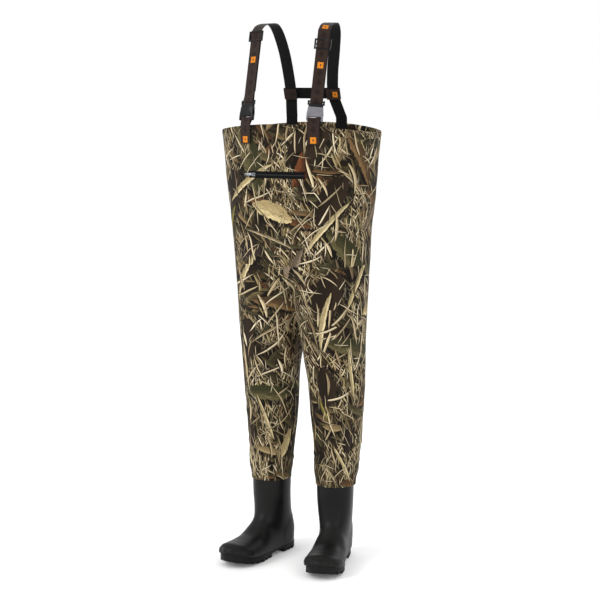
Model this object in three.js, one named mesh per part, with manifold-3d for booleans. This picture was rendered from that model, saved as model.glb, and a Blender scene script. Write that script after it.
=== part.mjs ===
// Chest waders: a neoprene body on two bonded rubber boots, held up by a pair of buckled, adjustable
// shoulder straps joined by a cross strap at the back. Millimetres. +Z is up, -Y is the wearer's front,
// +X is the wearer's left, and z = 0 is the floor under the soles.
import * as THREE from "three";
import { mergeVertices } from "three/addons/utils/BufferGeometryUtils.js";
import Module from "manifold-3d";

const wasm = await Module();
wasm.setup();

// ---------------------------------------------------------------- driving dimensions
const NEOPRENE = 4; // wall of the body
const GAP = 0.15; // each piece stops this far short of a seam plane
const RIM_SIDE = 1208; // height of the top edge at the side seams
const RIM_RISE = 22; // how much higher the edge stands at the front and the back
const RIM_BLEND = 60; // the edge's rise fades out over this height
const BINDING = 12; // reach of the binding down each side of the edge
const HIP_SEAM = 845; // legs join the torso here
const CROTCH = 762;
const LEG_TOP = 838; // the leg tubes run up inside the torso to here
const LEG_BOTTOM = 247.4; // the legs end here, on the boot bands
const LEG_GAP = 0.8; // half of the slit between the thighs
const TORSO_SQUARENESS = 2.3; // exponent of the torso's superellipse
const CLEFT_WIDTH = 46; // half width of the cleft that opens into the two legs

const WEB = 34; // strap webbing
const WEB_T = 1.6;
const TAB_WEB = 34; // front tabs
const CROSS_WEB = 32; // cross strap
const STRAP_X = 100; // front straps' distance from the middle

const BOOT_X = 100; // shaft's distance from the middle
const TOE_OUT = 11.3; // degrees
const BOOT_TOP = 262;
const BOOT_WALL = 3.5;
const SOLE_T = 20; // outsole with its lugs
const LUG = 8; // depth of the tread
const BAND = { bottom: 220, top: 247, wall: 3 };

// Torso: height, half width, depth in front of the side seam, depth behind it.
const TORSO = [
  [CROTCH, 188, 134, 131],
  [HIP_SEAM, 193, 143, 127],
  [934, 198, 149, 121],
  [1018, 208, 154, 116],
  [1100, 217, 158, 113],
  [1156, 222, 160, 111],
  [RIM_SIDE + 30, 232, 161, 110],
];
// How deep the cleft between the legs cuts into the torso's front and back, as a share of the depth.
const CLEFT = [
  [CROTCH, 0.6],
  [792, 0.34],
  [HIP_SEAM, 0.07],
  [880, 0],
  [1300, 0],
];
// Leg: height, its axis's distance from the middle, half width, half depth, how far back its axis is.
const LEG = [
  [200, 100, 58, 60, 7],
  [LEG_BOTTOM, 100, 60, 62, 7],
  [262, 101, 62, 65, 9],
  [300, 101, 64, 68, 12],
  [345, 101, 68, 72, 15],
  [420, 100, 74, 78, 15],
  [510, 100, 79.5, 85, 10],
  [595, 95, 86.5, 95, 5],
  [680, 90, 94.5, 108, 2],
  [CROTCH, 87.5, 100, 120, 0],
  [LEG_TOP, 86, 99, 118, 0],
];
// Boot, along the foot from the shaft to the toe: a point on the front or instep, a point on the heel or
// sole, each as y and z with the toe towards -Y, and the half width between them.
const BOOT = [
  [-45, BOOT_TOP, 59, BOOT_TOP, 50],
  [-46.5, 216, 60.5, 216, 51.5],
  [-46, 176, 60, 172, 50.5],
  [-46, 146, 66, 130, 48],
  [-50, 124, 76, 88, 45],
  [-58, 110, 84, 48, 43],
  [-69, 102, 70, 8, 43],
  [-81, 95.5, 0, 0, 45],
  [-99, 88, -62, 0, 49],
  [-123, 80.5, -108, 0, 52.5],
  [-152, 73, -150, 3, 53],
  [-178, 65, -179, 12, 46],
  [-194, 55, -197, 22, 33],
  [-203, 43, -204, 35, 14],
];
// Sole outline: y, half width.
const SOLE = [
  [88, 12],
  [82, 25],
  [64, 34.5],
  [30, 37],
  [-15, 36.5],
  [-58, 41],
  [-100, 49],
  [-138, 51.5],
  [-172, 45.5],
  [-193, 33],
  [-203, 20],
  [-208, 9],
];
const TOE_SPRING = { from: -100, to: -208, rise: 20 };
const HEEL_FRONT = 14; // y of the heel block's front face
const TREAD_BACK = -48; // y where the forefoot tread begins

// The straight front run of a strap: its foot at the buckle, and its lean from upright.
const RUN_FOOT = new THREE.Vector3(STRAP_X, -136, 1285);
const RUN_LEAN = 15.6;
const RUN_YAW = 15; // the runs face outwards by this much, as the chest does under them
const RUN_TOP = 203; // length of the straight run above its foot
const ADJUSTER_AT = { left: 164, right: 188 }; // adjusters' places along the run
const ADJUSTER_H = 28;
const SPLIT_AT = 46; // the shoulder strap ends and its stretching lower end begins
const RETURN_AT = -4.4; // the returning layer lies this far behind the run

// Where the back straps leave the rim. They stop this far from the fold line on either side of it.
const HINGE = { x: 76, z: 1241, gap: 1.6 };
const CROSS = { x: 64, y: 66, z: 1310 };

const ZIP = { x: -9, z: 1095, length: 162 };

// ---------------------------------------------------------------- materials
const material = (color, roughness, metalness = 0) =>
  new THREE.MeshStandardMaterial({ color, roughness, metalness });
const CAMO = material(0x5d5140, 0.8);
const LINING = material(0x2b2b29, 0.9);
const WEBBING = material(0x43302a, 0.85);
const RUBBER = material(0x262626, 0.5);
const PLASTIC = material(0x242326, 0.35);
const ORANGE = material(0xe0801c, 0.8);
const ZIPPER = material(0x1b1c1e, 0.6);
const METAL = material(0x6f7072, 0.35, 0.9);

// ---------------------------------------------------------------- helpers
const rad = THREE.MathUtils.degToRad;
const { lerp, smoothstep } = THREE.MathUtils;
const V = (x, y, z) => new THREE.Vector3(x, y, z);

// Values of a table's columns at a key, on a smooth curve through its rows. Keys may rise or fall.
function at(table, key) {
  const rising = table[0][0] < table[table.length - 1][0] ? 1 : -1;
  let i = 0;
  while (i < table.length - 2 && (key - table[i + 1][0]) * rising > 0) i++;
  const a = table[i];
  const b = table[i + 1];
  const span = b[0] - a[0];
  const t = THREE.MathUtils.clamp((key - a[0]) / span, 0, 1);
  const slope = (row, column) => {
    const before = table[Math.max(row - 1, 0)];
    const after = table[Math.min(row + 1, table.length - 1)];
    return (after[column] - before[column]) / (after[0] - before[0]);
  };
  const h = [2 * t ** 3 - 3 * t ** 2 + 1, t ** 3 - 2 * t ** 2 + t, 3 * t ** 2 - 2 * t ** 3, t ** 3 - t ** 2];
  return a.slice(1).map((_, k) => {
    const c = k + 1;
    return h[0] * a[c] + h[1] * span * slope(i, c) + h[2] * b[c] + h[3] * span * slope(i + 1, c);
  });
}

// A closed body through rings of equally many points, capped at both ends, faces outwards. Each
// four-sided face is split along its shorter diagonal, so the two faces of a twisted band stay parallel.
function loft(rings) {
  const n = rings[0].length;
  const points = rings.flat();
  const index = [];
  for (let r = 0; r + 1 < rings.length; r++)
    for (let i = 0; i < n; i++) {
      const j = (i + 1) % n;
      const [a, b, c, d] = [r * n + i, r * n + j, (r + 1) * n + j, (r + 1) * n + i];
      const falling = points[a].distanceTo(points[c]) <= points[b].distanceTo(points[d]);
      index.push(...(falling ? [a, b, c, a, c, d] : [a, b, d, b, c, d]));
    }
  for (const [ring, turn] of [[0, 1], [rings.length - 1, 0]]) {
    const middle = rings[ring].reduce((sum, p) => sum.add(p), V(0, 0, 0)).divideScalar(n);
    points.push(middle);
    for (let i = 0; i < n; i++) {
      const pair = [ring * n + i, ring * n + ((i + 1) % n)];
      index.push(...(turn ? pair.reverse() : pair), points.length - 1);
    }
  }
  let volume = 0;
  for (let i = 0; i < index.length; i += 3) {
    const [a, b, c] = [0, 1, 2].map((k) => points[index[i + k]]);
    volume += a.dot(b.clone().cross(c));
  }
  if (volume < 0) index.reverse();
  return new THREE.BufferGeometry().setFromPoints(points).setIndex(index);
}

function solid(geometry) {
  const bare = geometry.clone();
  bare.deleteAttribute("normal");
  bare.deleteAttribute("uv");
  const merged = mergeVertices(bare, 1e-3);
  const mesh = new wasm.Mesh({
    numProp: 3,
    vertProperties: new Float32Array(merged.attributes.position.array),
    triVerts: new Uint32Array(merged.index.array),
  });
  return new wasm.Manifold(mesh);
}

function geometryOf(body) {
  const { vertProperties, triVerts } = body.getMesh();
  return new THREE.BufferGeometry()
    .setAttribute("position", new THREE.BufferAttribute(vertProperties, 3))
    .setIndex(new THREE.BufferAttribute(triVerts, 1));
}

const union = (...bodies) => bodies.reduce((sum, body) => sum.add(body));

// A box between two corners.
function block(x0, x1, y0, y1, z0, z1) {
  const box = new THREE.BoxGeometry(x1 - x0, y1 - y0, z1 - z0);
  return solid(box.translate((x0 + x1) / 2, (y0 + y1) / 2, (z0 + z1) / 2));
}

const root = new THREE.Group();
function add(name, shape, skin, parent = root) {
  const geometry = shape.isBufferGeometry ? shape : geometryOf(shape);
  const mesh = new THREE.Mesh(geometry, skin);
  mesh.name = name;
  parent.add(mesh);
}

// A flat band along points, given the direction of its width at each one.
function ribbon(points, across, width, thickness = WEB_T) {
  const last = points.length - 1;
  return loft(
    points.map((p, i) => {
      const tangent = points[Math.min(i + 1, last)].clone().sub(points[Math.max(i - 1, 0)]).normalize();
      const given = typeof across === "function" ? across(i / last) : across;
      const u = given.clone().addScaledVector(tangent, -given.dot(tangent)).normalize();
      const n = u.clone().cross(tangent).normalize();
      const corner = (a, b) =>
        p.clone().addScaledVector(u, (a * width) / 2).addScaledVector(n, (b * thickness) / 2);
      return [corner(1, 1), corner(-1, 1), corner(-1, -1), corner(1, -1)];
    }),
  );
}

const smooth = (points, steps) => new THREE.CatmullRomCurve3(points, false, "centripetal").getSpacedPoints(steps);

const SIDES = [["left", 1], ["right", -1]];

// ---------------------------------------------------------------- neoprene body
const AROUND = 36;
const power = (value, exponent) => Math.sign(value) * Math.abs(value) ** exponent;

// A point on the torso at a level, an angle from +X, and a depth under the outer face.
function torsoPoint(level, angle, inset = 0) {
  const [a, front, back] = at(TORSO, level);
  const [cleft] = at(CLEFT, level);
  const e = 2 / TORSO_SQUARENESS;
  const x = (a - inset) * power(Math.cos(angle), e);
  const depth = (Math.sin(angle) < 0 ? front : back) - inset;
  const y = depth * power(Math.sin(angle), e) * (1 - cleft * Math.exp(-((x / CLEFT_WIDTH) ** 2)));
  const fade = smoothstep(level, RIM_SIDE - RIM_BLEND, RIM_SIDE);
  return V(x, y, level + fade * RIM_RISE * (1 - (x / a) ** 2));
}

const torsoRing = (level, inset) =>
  Array.from({ length: AROUND }, (_, i) => torsoPoint(level, (i / AROUND) * 2 * Math.PI, inset));

// The torso's front face at a place across it, y only.
function frontY(x, level, inset = 0) {
  const [a, front] = at(TORSO, level);
  const share = Math.min(Math.abs(x) / (a - inset), 1);
  return -(front - inset) * (1 - share ** TORSO_SQUARENESS) ** (1 / TORSO_SQUARENESS);
}
function backY(x, level, inset = 0) {
  const [a, , back] = at(TORSO, level);
  const share = Math.min(Math.abs(x) / (a - inset), 1);
  return (back - inset) * (1 - share ** TORSO_SQUARENESS) ** (1 / TORSO_SQUARENESS);
}

const LEG_AROUND = 24;
function legRing(z, inset) {
  const [x, w, d, y] = at(LEG, z);
  return Array.from({ length: LEG_AROUND }, (_, i) => {
    const angle = (i / LEG_AROUND) * 2 * Math.PI;
    return V(x + (w - inset) * Math.cos(angle), y + (d - inset) * Math.sin(angle), z);
  });
}

const mirrored = (body) => body.mirror([1, 0, 0]);

function body(inset) {
  const levels = [CROTCH + inset, 776, 792, 815, HIP_SEAM, 885, 934, 1018, 1100, 1156, 1180, RIM_SIDE - BINDING, RIM_SIDE];
  const rings = levels.map((level) => torsoRing(level, inset));
  if (inset) rings.push(rings.at(-1).map((p) => V(p.x, p.y, p.z + RIM_BLEND)));
  const torso = solid(loft(rings));
  const heights = [LEG_BOTTOM, 262, 300, 345, 420, 510, 595, 680, CROTCH - 22, LEG_TOP];
  if (inset) heights[0] = 200;
  const tube = solid(loft(heights.map((z) => legRing(z, inset))));
  const leg = tube.intersect(block(LEG_GAP + inset, 400, -400, 400, 0, 2000));
  return union(torso, leg, mirrored(leg));
}

const shell = body(0).subtract(body(NEOPRENE));
const gusset = block(-26, 26, -44, 44, 722, 800);
const gussetRoom = block(-26 - GAP, 26 + GAP, -44 - GAP, 44 + GAP, 722 - GAP, 800);
const zipSlot = block(ZIP.x - ZIP.length / 2, ZIP.x + ZIP.length / 2, -300, -80, ZIP.z - 5, ZIP.z + 5);

add("crotch_gusset", shell.intersect(gusset), CAMO);
const panels = shell.subtract(gussetRoom);
for (const [face, y0, y1] of [["front", -400, -GAP], ["back", GAP, 400]]) {
  const torso = panels.intersect(block(-400, 400, y0, y1, HIP_SEAM + GAP, 2000));
  add("torso_" + face, face === "front" ? torso.subtract(zipSlot) : torso, CAMO);
  for (const [side, s] of SIDES) {
    const [x0, x1] = s > 0 ? [GAP, 400] : [-400, -GAP];
    add("leg_" + face + "_" + side, panels.intersect(block(x0, x1, y0, y1, 100, HIP_SEAM - GAP)), CAMO);
  }
}

// Binding folded over the top edge.
{
  const wall = 1.2;
  const clear = 0.4;
  const tube = (inset, low, rise) => {
    const top = torsoRing(RIM_SIDE, inset);
    const foot = torsoRing(RIM_SIDE - BINDING, inset);
    const below = low ? [foot.map((p) => V(p.x, p.y, p.z - low))] : [];
    return solid(loft([...below, foot, top, top.map((p) => V(p.x, p.y, p.z + rise))]));
  };
  const outside = tube(-clear - wall, 0, clear + wall);
  const inside = tube(NEOPRENE + clear + wall, 5, wall + 10);
  const slot = tube(-clear, 5, clear).subtract(tube(NEOPRENE + clear, 6, 10));
  add("rim_binding", outside.subtract(inside).subtract(slot), CAMO);
}

// Tape glued inside along each side seam, from the rim to the boot.
const tape = body(NEOPRENE + 0.4).subtract(body(NEOPRENE + 1.3)).intersect(block(125, 400, -10, 10, 270, 1192));
add("side_seam_tape_left", tape, LINING);
add("side_seam_tape_right", mirrored(tape), LINING);

// ---------------------------------------------------------------- chest pocket and its zipper
{
  const [x0, x1] = [ZIP.x - ZIP.length / 2, ZIP.x + ZIP.length / 2];
  const layer = (outer, inner) => body(outer).subtract(body(inner));
  const bag = layer(NEOPRENE + 1, NEOPRENE + 4).intersect(block(x0 - 8, x1 + 8, -400, -60, 930, 1112));
  add("pocket_bag", bag, LINING);
  const strip = (low, high) => block(x0 + 0.5, x1 - 0.5, -400, -60, ZIP.z + low, ZIP.z + high);
  const tape = layer(0.8, 2.8);
  add("zipper_tape_lower", tape.intersect(strip(-4.6, -1.6)), ZIPPER);
  add("zipper_tape_upper", tape.intersect(strip(1.6, 4.6)), ZIPPER);
  add("zipper_coil", layer(0.6, 3).intersect(strip(-1.3, 1.3)), ZIPPER);
}
const SLIDER_X = ZIP.x - ZIP.length / 2 + 13;
{
  // The slider runs on the coil just proud of the face; its pull hangs from a bridge on it.
  const slider = new THREE.Group();
  slider.position.set(SLIDER_X, frontY(SLIDER_X, ZIP.z) - 1.6, ZIP.z);
  slider.rotation.z = Math.atan2(frontY(SLIDER_X + 1, ZIP.z) - frontY(SLIDER_X - 1, ZIP.z), 2);
  root.add(slider);
  const pivot = -3.9;
  const barrel = (radius, half) => {
    const made = new THREE.CylinderGeometry(radius, radius, 2 * half, 8).rotateX(Math.PI / 2);
    return solid(made.translate(0, pivot, 0));
  };
  const plate = block(-6, 6, -1.2, 0.4, -4.5, 4.5);
  const post = (z) => block(-1.6, 1.6, -5, -1, z - 0.6, z + 0.6);
  add("zipper_slider", union(plate, post(-2.3), post(2.3), barrel(0.75, 2.2)), METAL, slider);
  const handle = union(block(-5.5, -1.5, pivot - 0.6, pivot + 0.6, -1.2, 1.2), block(-27, -5, pivot - 0.8, pivot + 0.8, -3, 3));
  add("zipper_pull", union(barrel(2.1, 1.25), handle).subtract(barrel(1.2, 5)), METAL, slider);
}

// ---------------------------------------------------------------- boots
function bootLoft(inset) {
  const around = 20;
  return solid(
    loft(
      BOOT.map(([iy, iz, hy, hz, w], k) => {
        const e = V(0, hy - iy, hz - iz).normalize();
        const half = Math.hypot(hy - iy, hz - iz) / 2 - inset;
        const middle = V(0, (iy + hy) / 2, (iz + hz) / 2);
        if (k === BOOT.length - 1) middle.y += inset * 1.2;
        if (k === 0 && inset) middle.z += 20;
        const squareness = 2.3;
        return Array.from({ length: around }, (_, i) => {
          const angle = (i / around) * 2 * Math.PI;
          const across = Math.max(w - inset, 3) * power(Math.cos(angle), 2 / squareness);
          const along = Math.max(half, 3) * power(Math.sin(angle), 2 / squareness);
          return middle.clone().addScaledVector(e, along).add(V(across, 0, 0));
        });
      }),
    ),
  );
}

const spring = (y) =>
  TOE_SPRING.rise * THREE.MathUtils.clamp((y - TOE_SPRING.from) / (TOE_SPRING.to - TOE_SPRING.from), 0, 1) ** 1.6;

// The foot's plan between two heights over the toe's spring, or a sheet wider than the foot.
function footPlan(low, high, sheet = false) {
  const rows = sheet ? [[150, 90], ...SOLE.map(([y]) => [y, 90]), [-320, 90]] : SOLE;
  const slab = rows.map(([y, half]) => {
    const z = spring(y);
    return [V(-half, y, z + low), V(half, y, z + low), V(half, y, z + high), V(-half, y, z + high)];
  });
  return solid(loft(slab));
}

function outsole() {
  let sole = footPlan(0, SOLE_T);
  sole = sole.subtract(block(-90, 90, TREAD_BACK, HEEL_FRONT, -5, LUG + 3));
  const groove = (y, width) => {
    const z = spring(y);
    return block(-90, 90, y - width / 2, y + width / 2, z - 8, z + LUG);
  };
  for (let y = TREAD_BACK - 16; y > -190; y -= 23) sole = sole.subtract(groove(y, 8));
  for (let y = HEEL_FRONT + 19; y < 75; y += 21) sole = sole.subtract(groove(y, 6));
  return sole.subtract(block(-4, 4, -300, TREAD_BACK + 5, -5, LUG - 1));
}

const SOLE_TOP = SOLE_T + 0.3;
const bootOuter = bootLoft(0).subtract(footPlan(-90, SOLE_TOP, true));
const bootInner = bootLoft(BOOT_WALL).subtract(footPlan(-90, SOLE_TOP + 4, true));
const bootShell = bootOuter.subtract(bootInner);
const insole = bootLoft(BOOT_WALL + 1.2).intersect(footPlan(SOLE_TOP + 4.4, SOLE_TOP + 8.4, true));
const tread = outsole();

for (const [side, s] of SIDES) {
  const boot = new THREE.Group();
  boot.position.set(s * BOOT_X, 0, 0);
  boot.rotation.z = s * rad(TOE_OUT);
  root.add(boot);
  add("boot_shell_" + side, bootShell, RUBBER, boot);
  add("boot_outsole_" + side, tread, RUBBER, boot);
  add("boot_insole_" + side, insole, LINING, boot);

  // Band that seals the leg's end round the shaft.
  const ring = (z, inset) =>
    Array.from({ length: LEG_AROUND }, (_, i) => {
      const angle = (i / LEG_AROUND) * 2 * Math.PI;
      return V((53 + inset) * Math.cos(angle), 7 + (55.5 + inset) * Math.sin(angle), z);
    });
  const tube = (inset, z0, z1) => solid(loft([ring(z0, inset), ring(z1, inset)]));
  add("boot_band_" + side, tube(BAND.wall, BAND.bottom, BAND.top).subtract(bootLoft(-0.4)), CAMO, boot);
}

// ---------------------------------------------------------------- suspenders
// A strap's own frame: x across, y up along its front run, z outwards from the wearer.
function runFrame(s) {
  const frame = new THREE.Group();
  frame.position.set(s * RUN_FOOT.x, RUN_FOOT.y, RUN_FOOT.z);
  frame.rotation.set(rad(90 - RUN_LEAN), s * rad(RUN_YAW), 0);
  root.add(frame);
  return frame;
}
const alongRun = (s, y, z = 0) =>
  V(s * RUN_FOOT.x, RUN_FOOT.y + y * Math.sin(rad(RUN_LEAN)) - z * Math.cos(rad(RUN_LEAN)), RUN_FOOT.z + y * Math.cos(rad(RUN_LEAN)) + z * Math.sin(rad(RUN_LEAN)));

// Side-release buckle, 46 wide. The female half ends in a bar that the front tab loops round.
const FEMALE = { low: -46.5, bar: -44, mouth: -9, halfWidth: 22, halfDepth: 5.5 };
const MALE_BAR = 6; // centre of the male half's bar
function femaleHalf() {
  const { low, mouth, halfWidth, halfDepth } = FEMALE;
  const outline = new THREE.Shape();
  outline.moveTo(-halfWidth + 3, low);
  outline.lineTo(halfWidth - 3, low);
  outline.quadraticCurveTo(halfWidth, low, halfWidth, low + 4);
  outline.lineTo(halfWidth, -26);
  outline.quadraticCurveTo(halfWidth - 1.5, -18, halfWidth - 2, mouth);
  outline.lineTo(-halfWidth + 2, mouth);
  outline.quadraticCurveTo(-halfWidth + 1.5, -18, -halfWidth, -26);
  outline.lineTo(-halfWidth, low + 4);
  outline.quadraticCurveTo(-halfWidth, low, -halfWidth + 3, low);
  const blank = new THREE.ExtrudeGeometry(outline, { depth: 2 * halfDepth, bevelEnabled: false, curveSegments: 4 });
  const webSlot = block(-18, 18, -41.7, -35, -20, 20);
  const barFlat = block(-18, 18, low - 5, -35, 1.6, 20).add(block(-18, 18, low - 5, -35, -20, -1.6));
  const socket = block(-18, 18, -32.5, 0, -4, 4);
  const windows = block(-30, 30, -29.5, -16.5, -3.2, 3.2);
  return solid(blank.translate(0, 0, -halfDepth)).subtract(webSlot).subtract(barFlat).subtract(socket).subtract(windows);
}
function maleHalf() {
  const base = block(-19.5, 19.5, FEMALE.mouth + 0.3, 0.6, -4.6, 4.6);
  const posts = union(block(-23, -18.6, -3, 9, -2.2, 2.2), block(18.6, 23, -3, 9, -2.2, 2.2));
  const bar = block(-19, 19, MALE_BAR - 1.6, MALE_BAR + 1.6, -1.5, 1.5);
  const guide = block(-3, 3, -19, FEMALE.mouth + 1, -1.3, 1.3);
  return union(base, posts, bar, guide);
}
// A springy prong: a slim arm from the base to a barbed head in the side window. sign is its side.
function prong(sign) {
  const outline = new THREE.Shape();
  outline.moveTo(10.5, -9);
  outline.lineTo(14, -9);
  outline.quadraticCurveTo(14.5, -14, 16.4, -17);
  outline.lineTo(20.4, -17.6);
  outline.quadraticCurveTo(21.5, -24, 15.5, -30);
  outline.lineTo(12.5, -30);
  outline.quadraticCurveTo(12.8, -20, 10.5, -9);
  const arm = new THREE.ExtrudeGeometry(outline, { depth: 4, bevelEnabled: false, curveSegments: 4 });
  const made = solid(arm.translate(0, 0, -2));
  return sign > 0 ? made : mirrored(made);
}

// The adjuster's two outer bars lie in front of the strap and its middle bar behind.
function adjuster() {
  const half = 22.5;
  const h = ADJUSTER_H / 2;
  const posts = union(block(-half, -18.6, -h, h, -2.9, 3.2), block(18.6, half, -h, h, -2.9, 3.2));
  const outer = (y) => block(-19, 19, y - 2, y + 2, 1.4, 3.2);
  const middle = block(-19, 19, -1.8, 1.8, -2.9, -1.4);
  return union(posts, outer(h - 2), outer(2 - h), middle);
}

for (const [side, s] of SIDES) {
  const frame = runFrame(s);
  add("buckle_female_" + side, femaleHalf(), PLASTIC, frame);
  add("buckle_male_" + side, maleHalf(), PLASTIC, frame);
  add("buckle_prong_outer_" + side, prong(s), PLASTIC, frame);
  add("buckle_prong_inner_" + side, prong(-s), PLASTIC, frame);

  const place = new THREE.Group();
  place.position.y = ADJUSTER_AT[side];
  frame.add(place);
  add("adjuster_" + side, adjuster(), PLASTIC, place);

  // Sewn end of the webbing round the adjuster's middle bar.
  const loop = [V(0, -22, RETURN_AT), V(0, -4.2, RETURN_AT), V(0, 2.2, RETURN_AT), V(0, 3.6, RETURN_AT + 0.9), V(0, 3.6, -2.4)];
  add("strap_end_" + side, ribbon(loop, V(1, 0, 0), WEB, 1.2), WEBBING, place);

  // Lower end of the strap: down the run, round the male half's bar and a little way up behind.
  const turn = Array.from({ length: 5 }, (_, i) => {
    const a = Math.PI * (i / 4);
    return V(0, MALE_BAR - 2.3 - 1.7 * Math.sin(a), 2.7 * Math.cos(a) - 0.2);
  });
  const lower = [V(0, SPLIT_AT - 0.3, 0), V(0, 22, 0), V(0, 12, 2.1), ...turn, V(0, 12, -2.9), V(0, 24, -2.4), V(0, 44, -2.4)];
  add("strap_lower_" + side, ribbon(lower, V(1, 0, 0), WEB, 1.2), WEBBING, frame);

  // The returning layer between that end and the adjuster.
  const back = [V(0, 34, RETURN_AT), V(0, 80, RETURN_AT), V(0, ADJUSTER_AT[side] - 22.4, RETURN_AT)];
  add("strap_return_" + side, ribbon(back, V(1, 0, 0), WEB, 1.2), WEBBING, frame);

  // Front tab: sewn to the front, up round the female half's bar, and down again behind itself.
  const bar = alongRun(s, FEMALE.bar);
  const face = (z, off) => V(s * STRAP_X, frontY(STRAP_X, z) - off, z);
  const over = Array.from({ length: 5 }, (_, i) => {
    const a = Math.PI * (i / 4);
    return V(bar.x, bar.y - 3.6 * Math.cos(a), bar.z + 0.8 + 5.2 * Math.sin(a));
  });
  const under = [V(bar.x, bar.y + 2.6, bar.z - 4.4), V(bar.x, bar.y - 0.8, bar.z - 7.4)];
  const outer = [face(1178, 5.4), face(1200, 5.4), face(1226, 5.6)];
  const tab = [...outer, ...over, ...under, face(1228, 3.5), face(1200, 3.4), face(1184, 3.3)];
  const tabAcross = V(Math.cos(rad(RUN_YAW)), s * Math.sin(rad(RUN_YAW)), 0);
  add("front_tab_" + side, ribbon(tab, tabAcross, TAB_WEB, 1.2), WEBBING);

  // Woven label near the tab's foot.
  const patch = [face(1181, 6.75), face(1198, 6.75)];
  add("tab_label_" + side, ribbon(patch, tabAcross, 17, 0.6), ORANGE);

  // Back anchor, sewn inside the back and standing up to where the strap bends.
  const inner = (z) => V(s * HINGE.x, backY(HINGE.x, RIM_SIDE, NEOPRENE) - 4.4, z);
  const backYaw = Math.atan2(backY(HINGE.x + 1, RIM_SIDE) - backY(HINGE.x - 1, RIM_SIDE), 2);
  const anchorAcross = V(Math.cos(s * backYaw), Math.sin(s * backYaw), 0);
  const anchorTurn = (t) => anchorAcross.clone().lerp(V(1, 0, 0), smoothstep(t, 0.2, 1));
  const anchor = [inner(1172), inner(1205), inner(1218), inner(1230), inner(HINGE.z - HINGE.gap)];
  add("back_anchor_" + side, ribbon(anchor, anchorTurn, WEB), WEBBING);

  // Shoulder strap: from the rim at the back, past the cross strap, over the shoulder and down the run.
  const foot = inner(HINGE.z + HINGE.gap);
  const over2 = [
    V(foot.x, foot.y, HINGE.z + 6),
    V(s * 72, 88, 1268),
    V(s * CROSS.x, CROSS.y, CROSS.z),
    V(s * 67, 54, 1366),
    V(s * 76, 44, 1428),
    V(s * 86, 25, 1480),
    V(s * 90, 4, 1499),
    V(s * 94, -28, 1501),
    V(s * 98, -62, 1494),
    alongRun(s, RUN_TOP),
  ];
  const curved = [foot, ...smooth(over2, 32)];
  curved.pop();
  const straight = [alongRun(s, RUN_TOP), alongRun(s, 120), alongRun(s, SPLIT_AT)];
  const runAcross = V(1, 0, 0).applyEuler(frame.rotation);
  const strapAcross = (t) => V(1, 0, 0).lerp(runAcross, smoothstep(t, 0.5, 0.85));
  add("shoulder_strap_" + side, ribbon([...curved, ...straight], strapAcross, WEB, 1.4), WEBBING);
}

// Cross strap: behind both back straps, its ends folded round them to the front.
{
  const lean = Math.atan2(54 - 88, 1366 - 1268); // of the back straps where it crosses them
  const up = V(0, Math.sin(lean), Math.cos(lean));
  const out = V(0, Math.cos(lean), -Math.sin(lean));
  const place = (x, off) => V(x, CROSS.y, CROSS.z).addScaledVector(out, off);
  const reach = WEB / 2 + 3.6;
  const end = (s) => [
    place(s * (CROSS.x - reach + 2), -5),
    place(s * CROSS.x, -5),
    place(s * (CROSS.x + reach - 3), -4.6),
    place(s * (CROSS.x + reach - 0.6), -2.6),
    place(s * (CROSS.x + reach), 0),
    place(s * (CROSS.x + reach - 0.6), 2.6),
    place(s * (CROSS.x + reach - 3), 4.6),
    place(s * CROSS.x, 4.8),
  ];
  const path = [...end(1), place(30, 4.8), place(-30, 4.8), ...end(-1).reverse()];
  add("cross_strap", ribbon(path, up, CROSS_WEB, 1.4), WEBBING);
}

// ---------------------------------------------------------------- origin midway between toes and back
const bounds = new THREE.Box3().setFromObject(root, true);
root.children.forEach((child) => (child.position.y -= (bounds.min.y + bounds.max.y) / 2));

export default root;
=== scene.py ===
"""Bootfoot chest waders: the looks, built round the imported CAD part."""
import math

import bpy
import numpy as np
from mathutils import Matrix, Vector, noise
from mathutils.bvhtree import BVHTree


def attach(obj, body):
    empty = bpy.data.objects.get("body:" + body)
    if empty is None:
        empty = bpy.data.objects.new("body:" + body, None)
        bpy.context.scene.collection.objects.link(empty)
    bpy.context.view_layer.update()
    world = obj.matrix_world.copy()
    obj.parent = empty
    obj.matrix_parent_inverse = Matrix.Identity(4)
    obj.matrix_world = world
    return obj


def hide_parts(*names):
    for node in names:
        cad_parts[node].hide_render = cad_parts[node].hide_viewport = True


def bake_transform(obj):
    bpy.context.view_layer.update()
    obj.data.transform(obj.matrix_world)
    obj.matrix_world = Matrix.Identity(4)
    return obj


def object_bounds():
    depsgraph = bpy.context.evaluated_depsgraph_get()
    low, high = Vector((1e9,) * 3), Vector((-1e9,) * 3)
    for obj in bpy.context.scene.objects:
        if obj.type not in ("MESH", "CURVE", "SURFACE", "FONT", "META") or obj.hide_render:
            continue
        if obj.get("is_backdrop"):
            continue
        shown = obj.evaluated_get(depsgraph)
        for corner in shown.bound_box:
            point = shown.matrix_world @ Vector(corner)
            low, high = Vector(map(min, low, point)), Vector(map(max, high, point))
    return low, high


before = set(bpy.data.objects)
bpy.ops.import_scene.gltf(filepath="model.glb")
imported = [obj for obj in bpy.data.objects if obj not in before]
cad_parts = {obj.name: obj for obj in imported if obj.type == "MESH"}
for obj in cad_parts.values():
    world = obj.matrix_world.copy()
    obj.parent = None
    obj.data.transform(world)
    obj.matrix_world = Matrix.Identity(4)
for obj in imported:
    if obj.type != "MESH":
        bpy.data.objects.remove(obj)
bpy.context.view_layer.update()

# All sizes below are millimetres in the part's drawing frame, whose Y is measured from the legs'
# middle. The row frame's Y is measured from midway between the toes and the back.
DEPTH_SHIFT = 40.63
MM = 0.001
SIDES = (("left", 1), ("right", -1))


def row(points):
    """Drawing-frame millimetres to row-frame metres."""
    p = np.array(points, float)
    return (p + np.array([0, DEPTH_SHIFT, 0])) * MM


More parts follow.
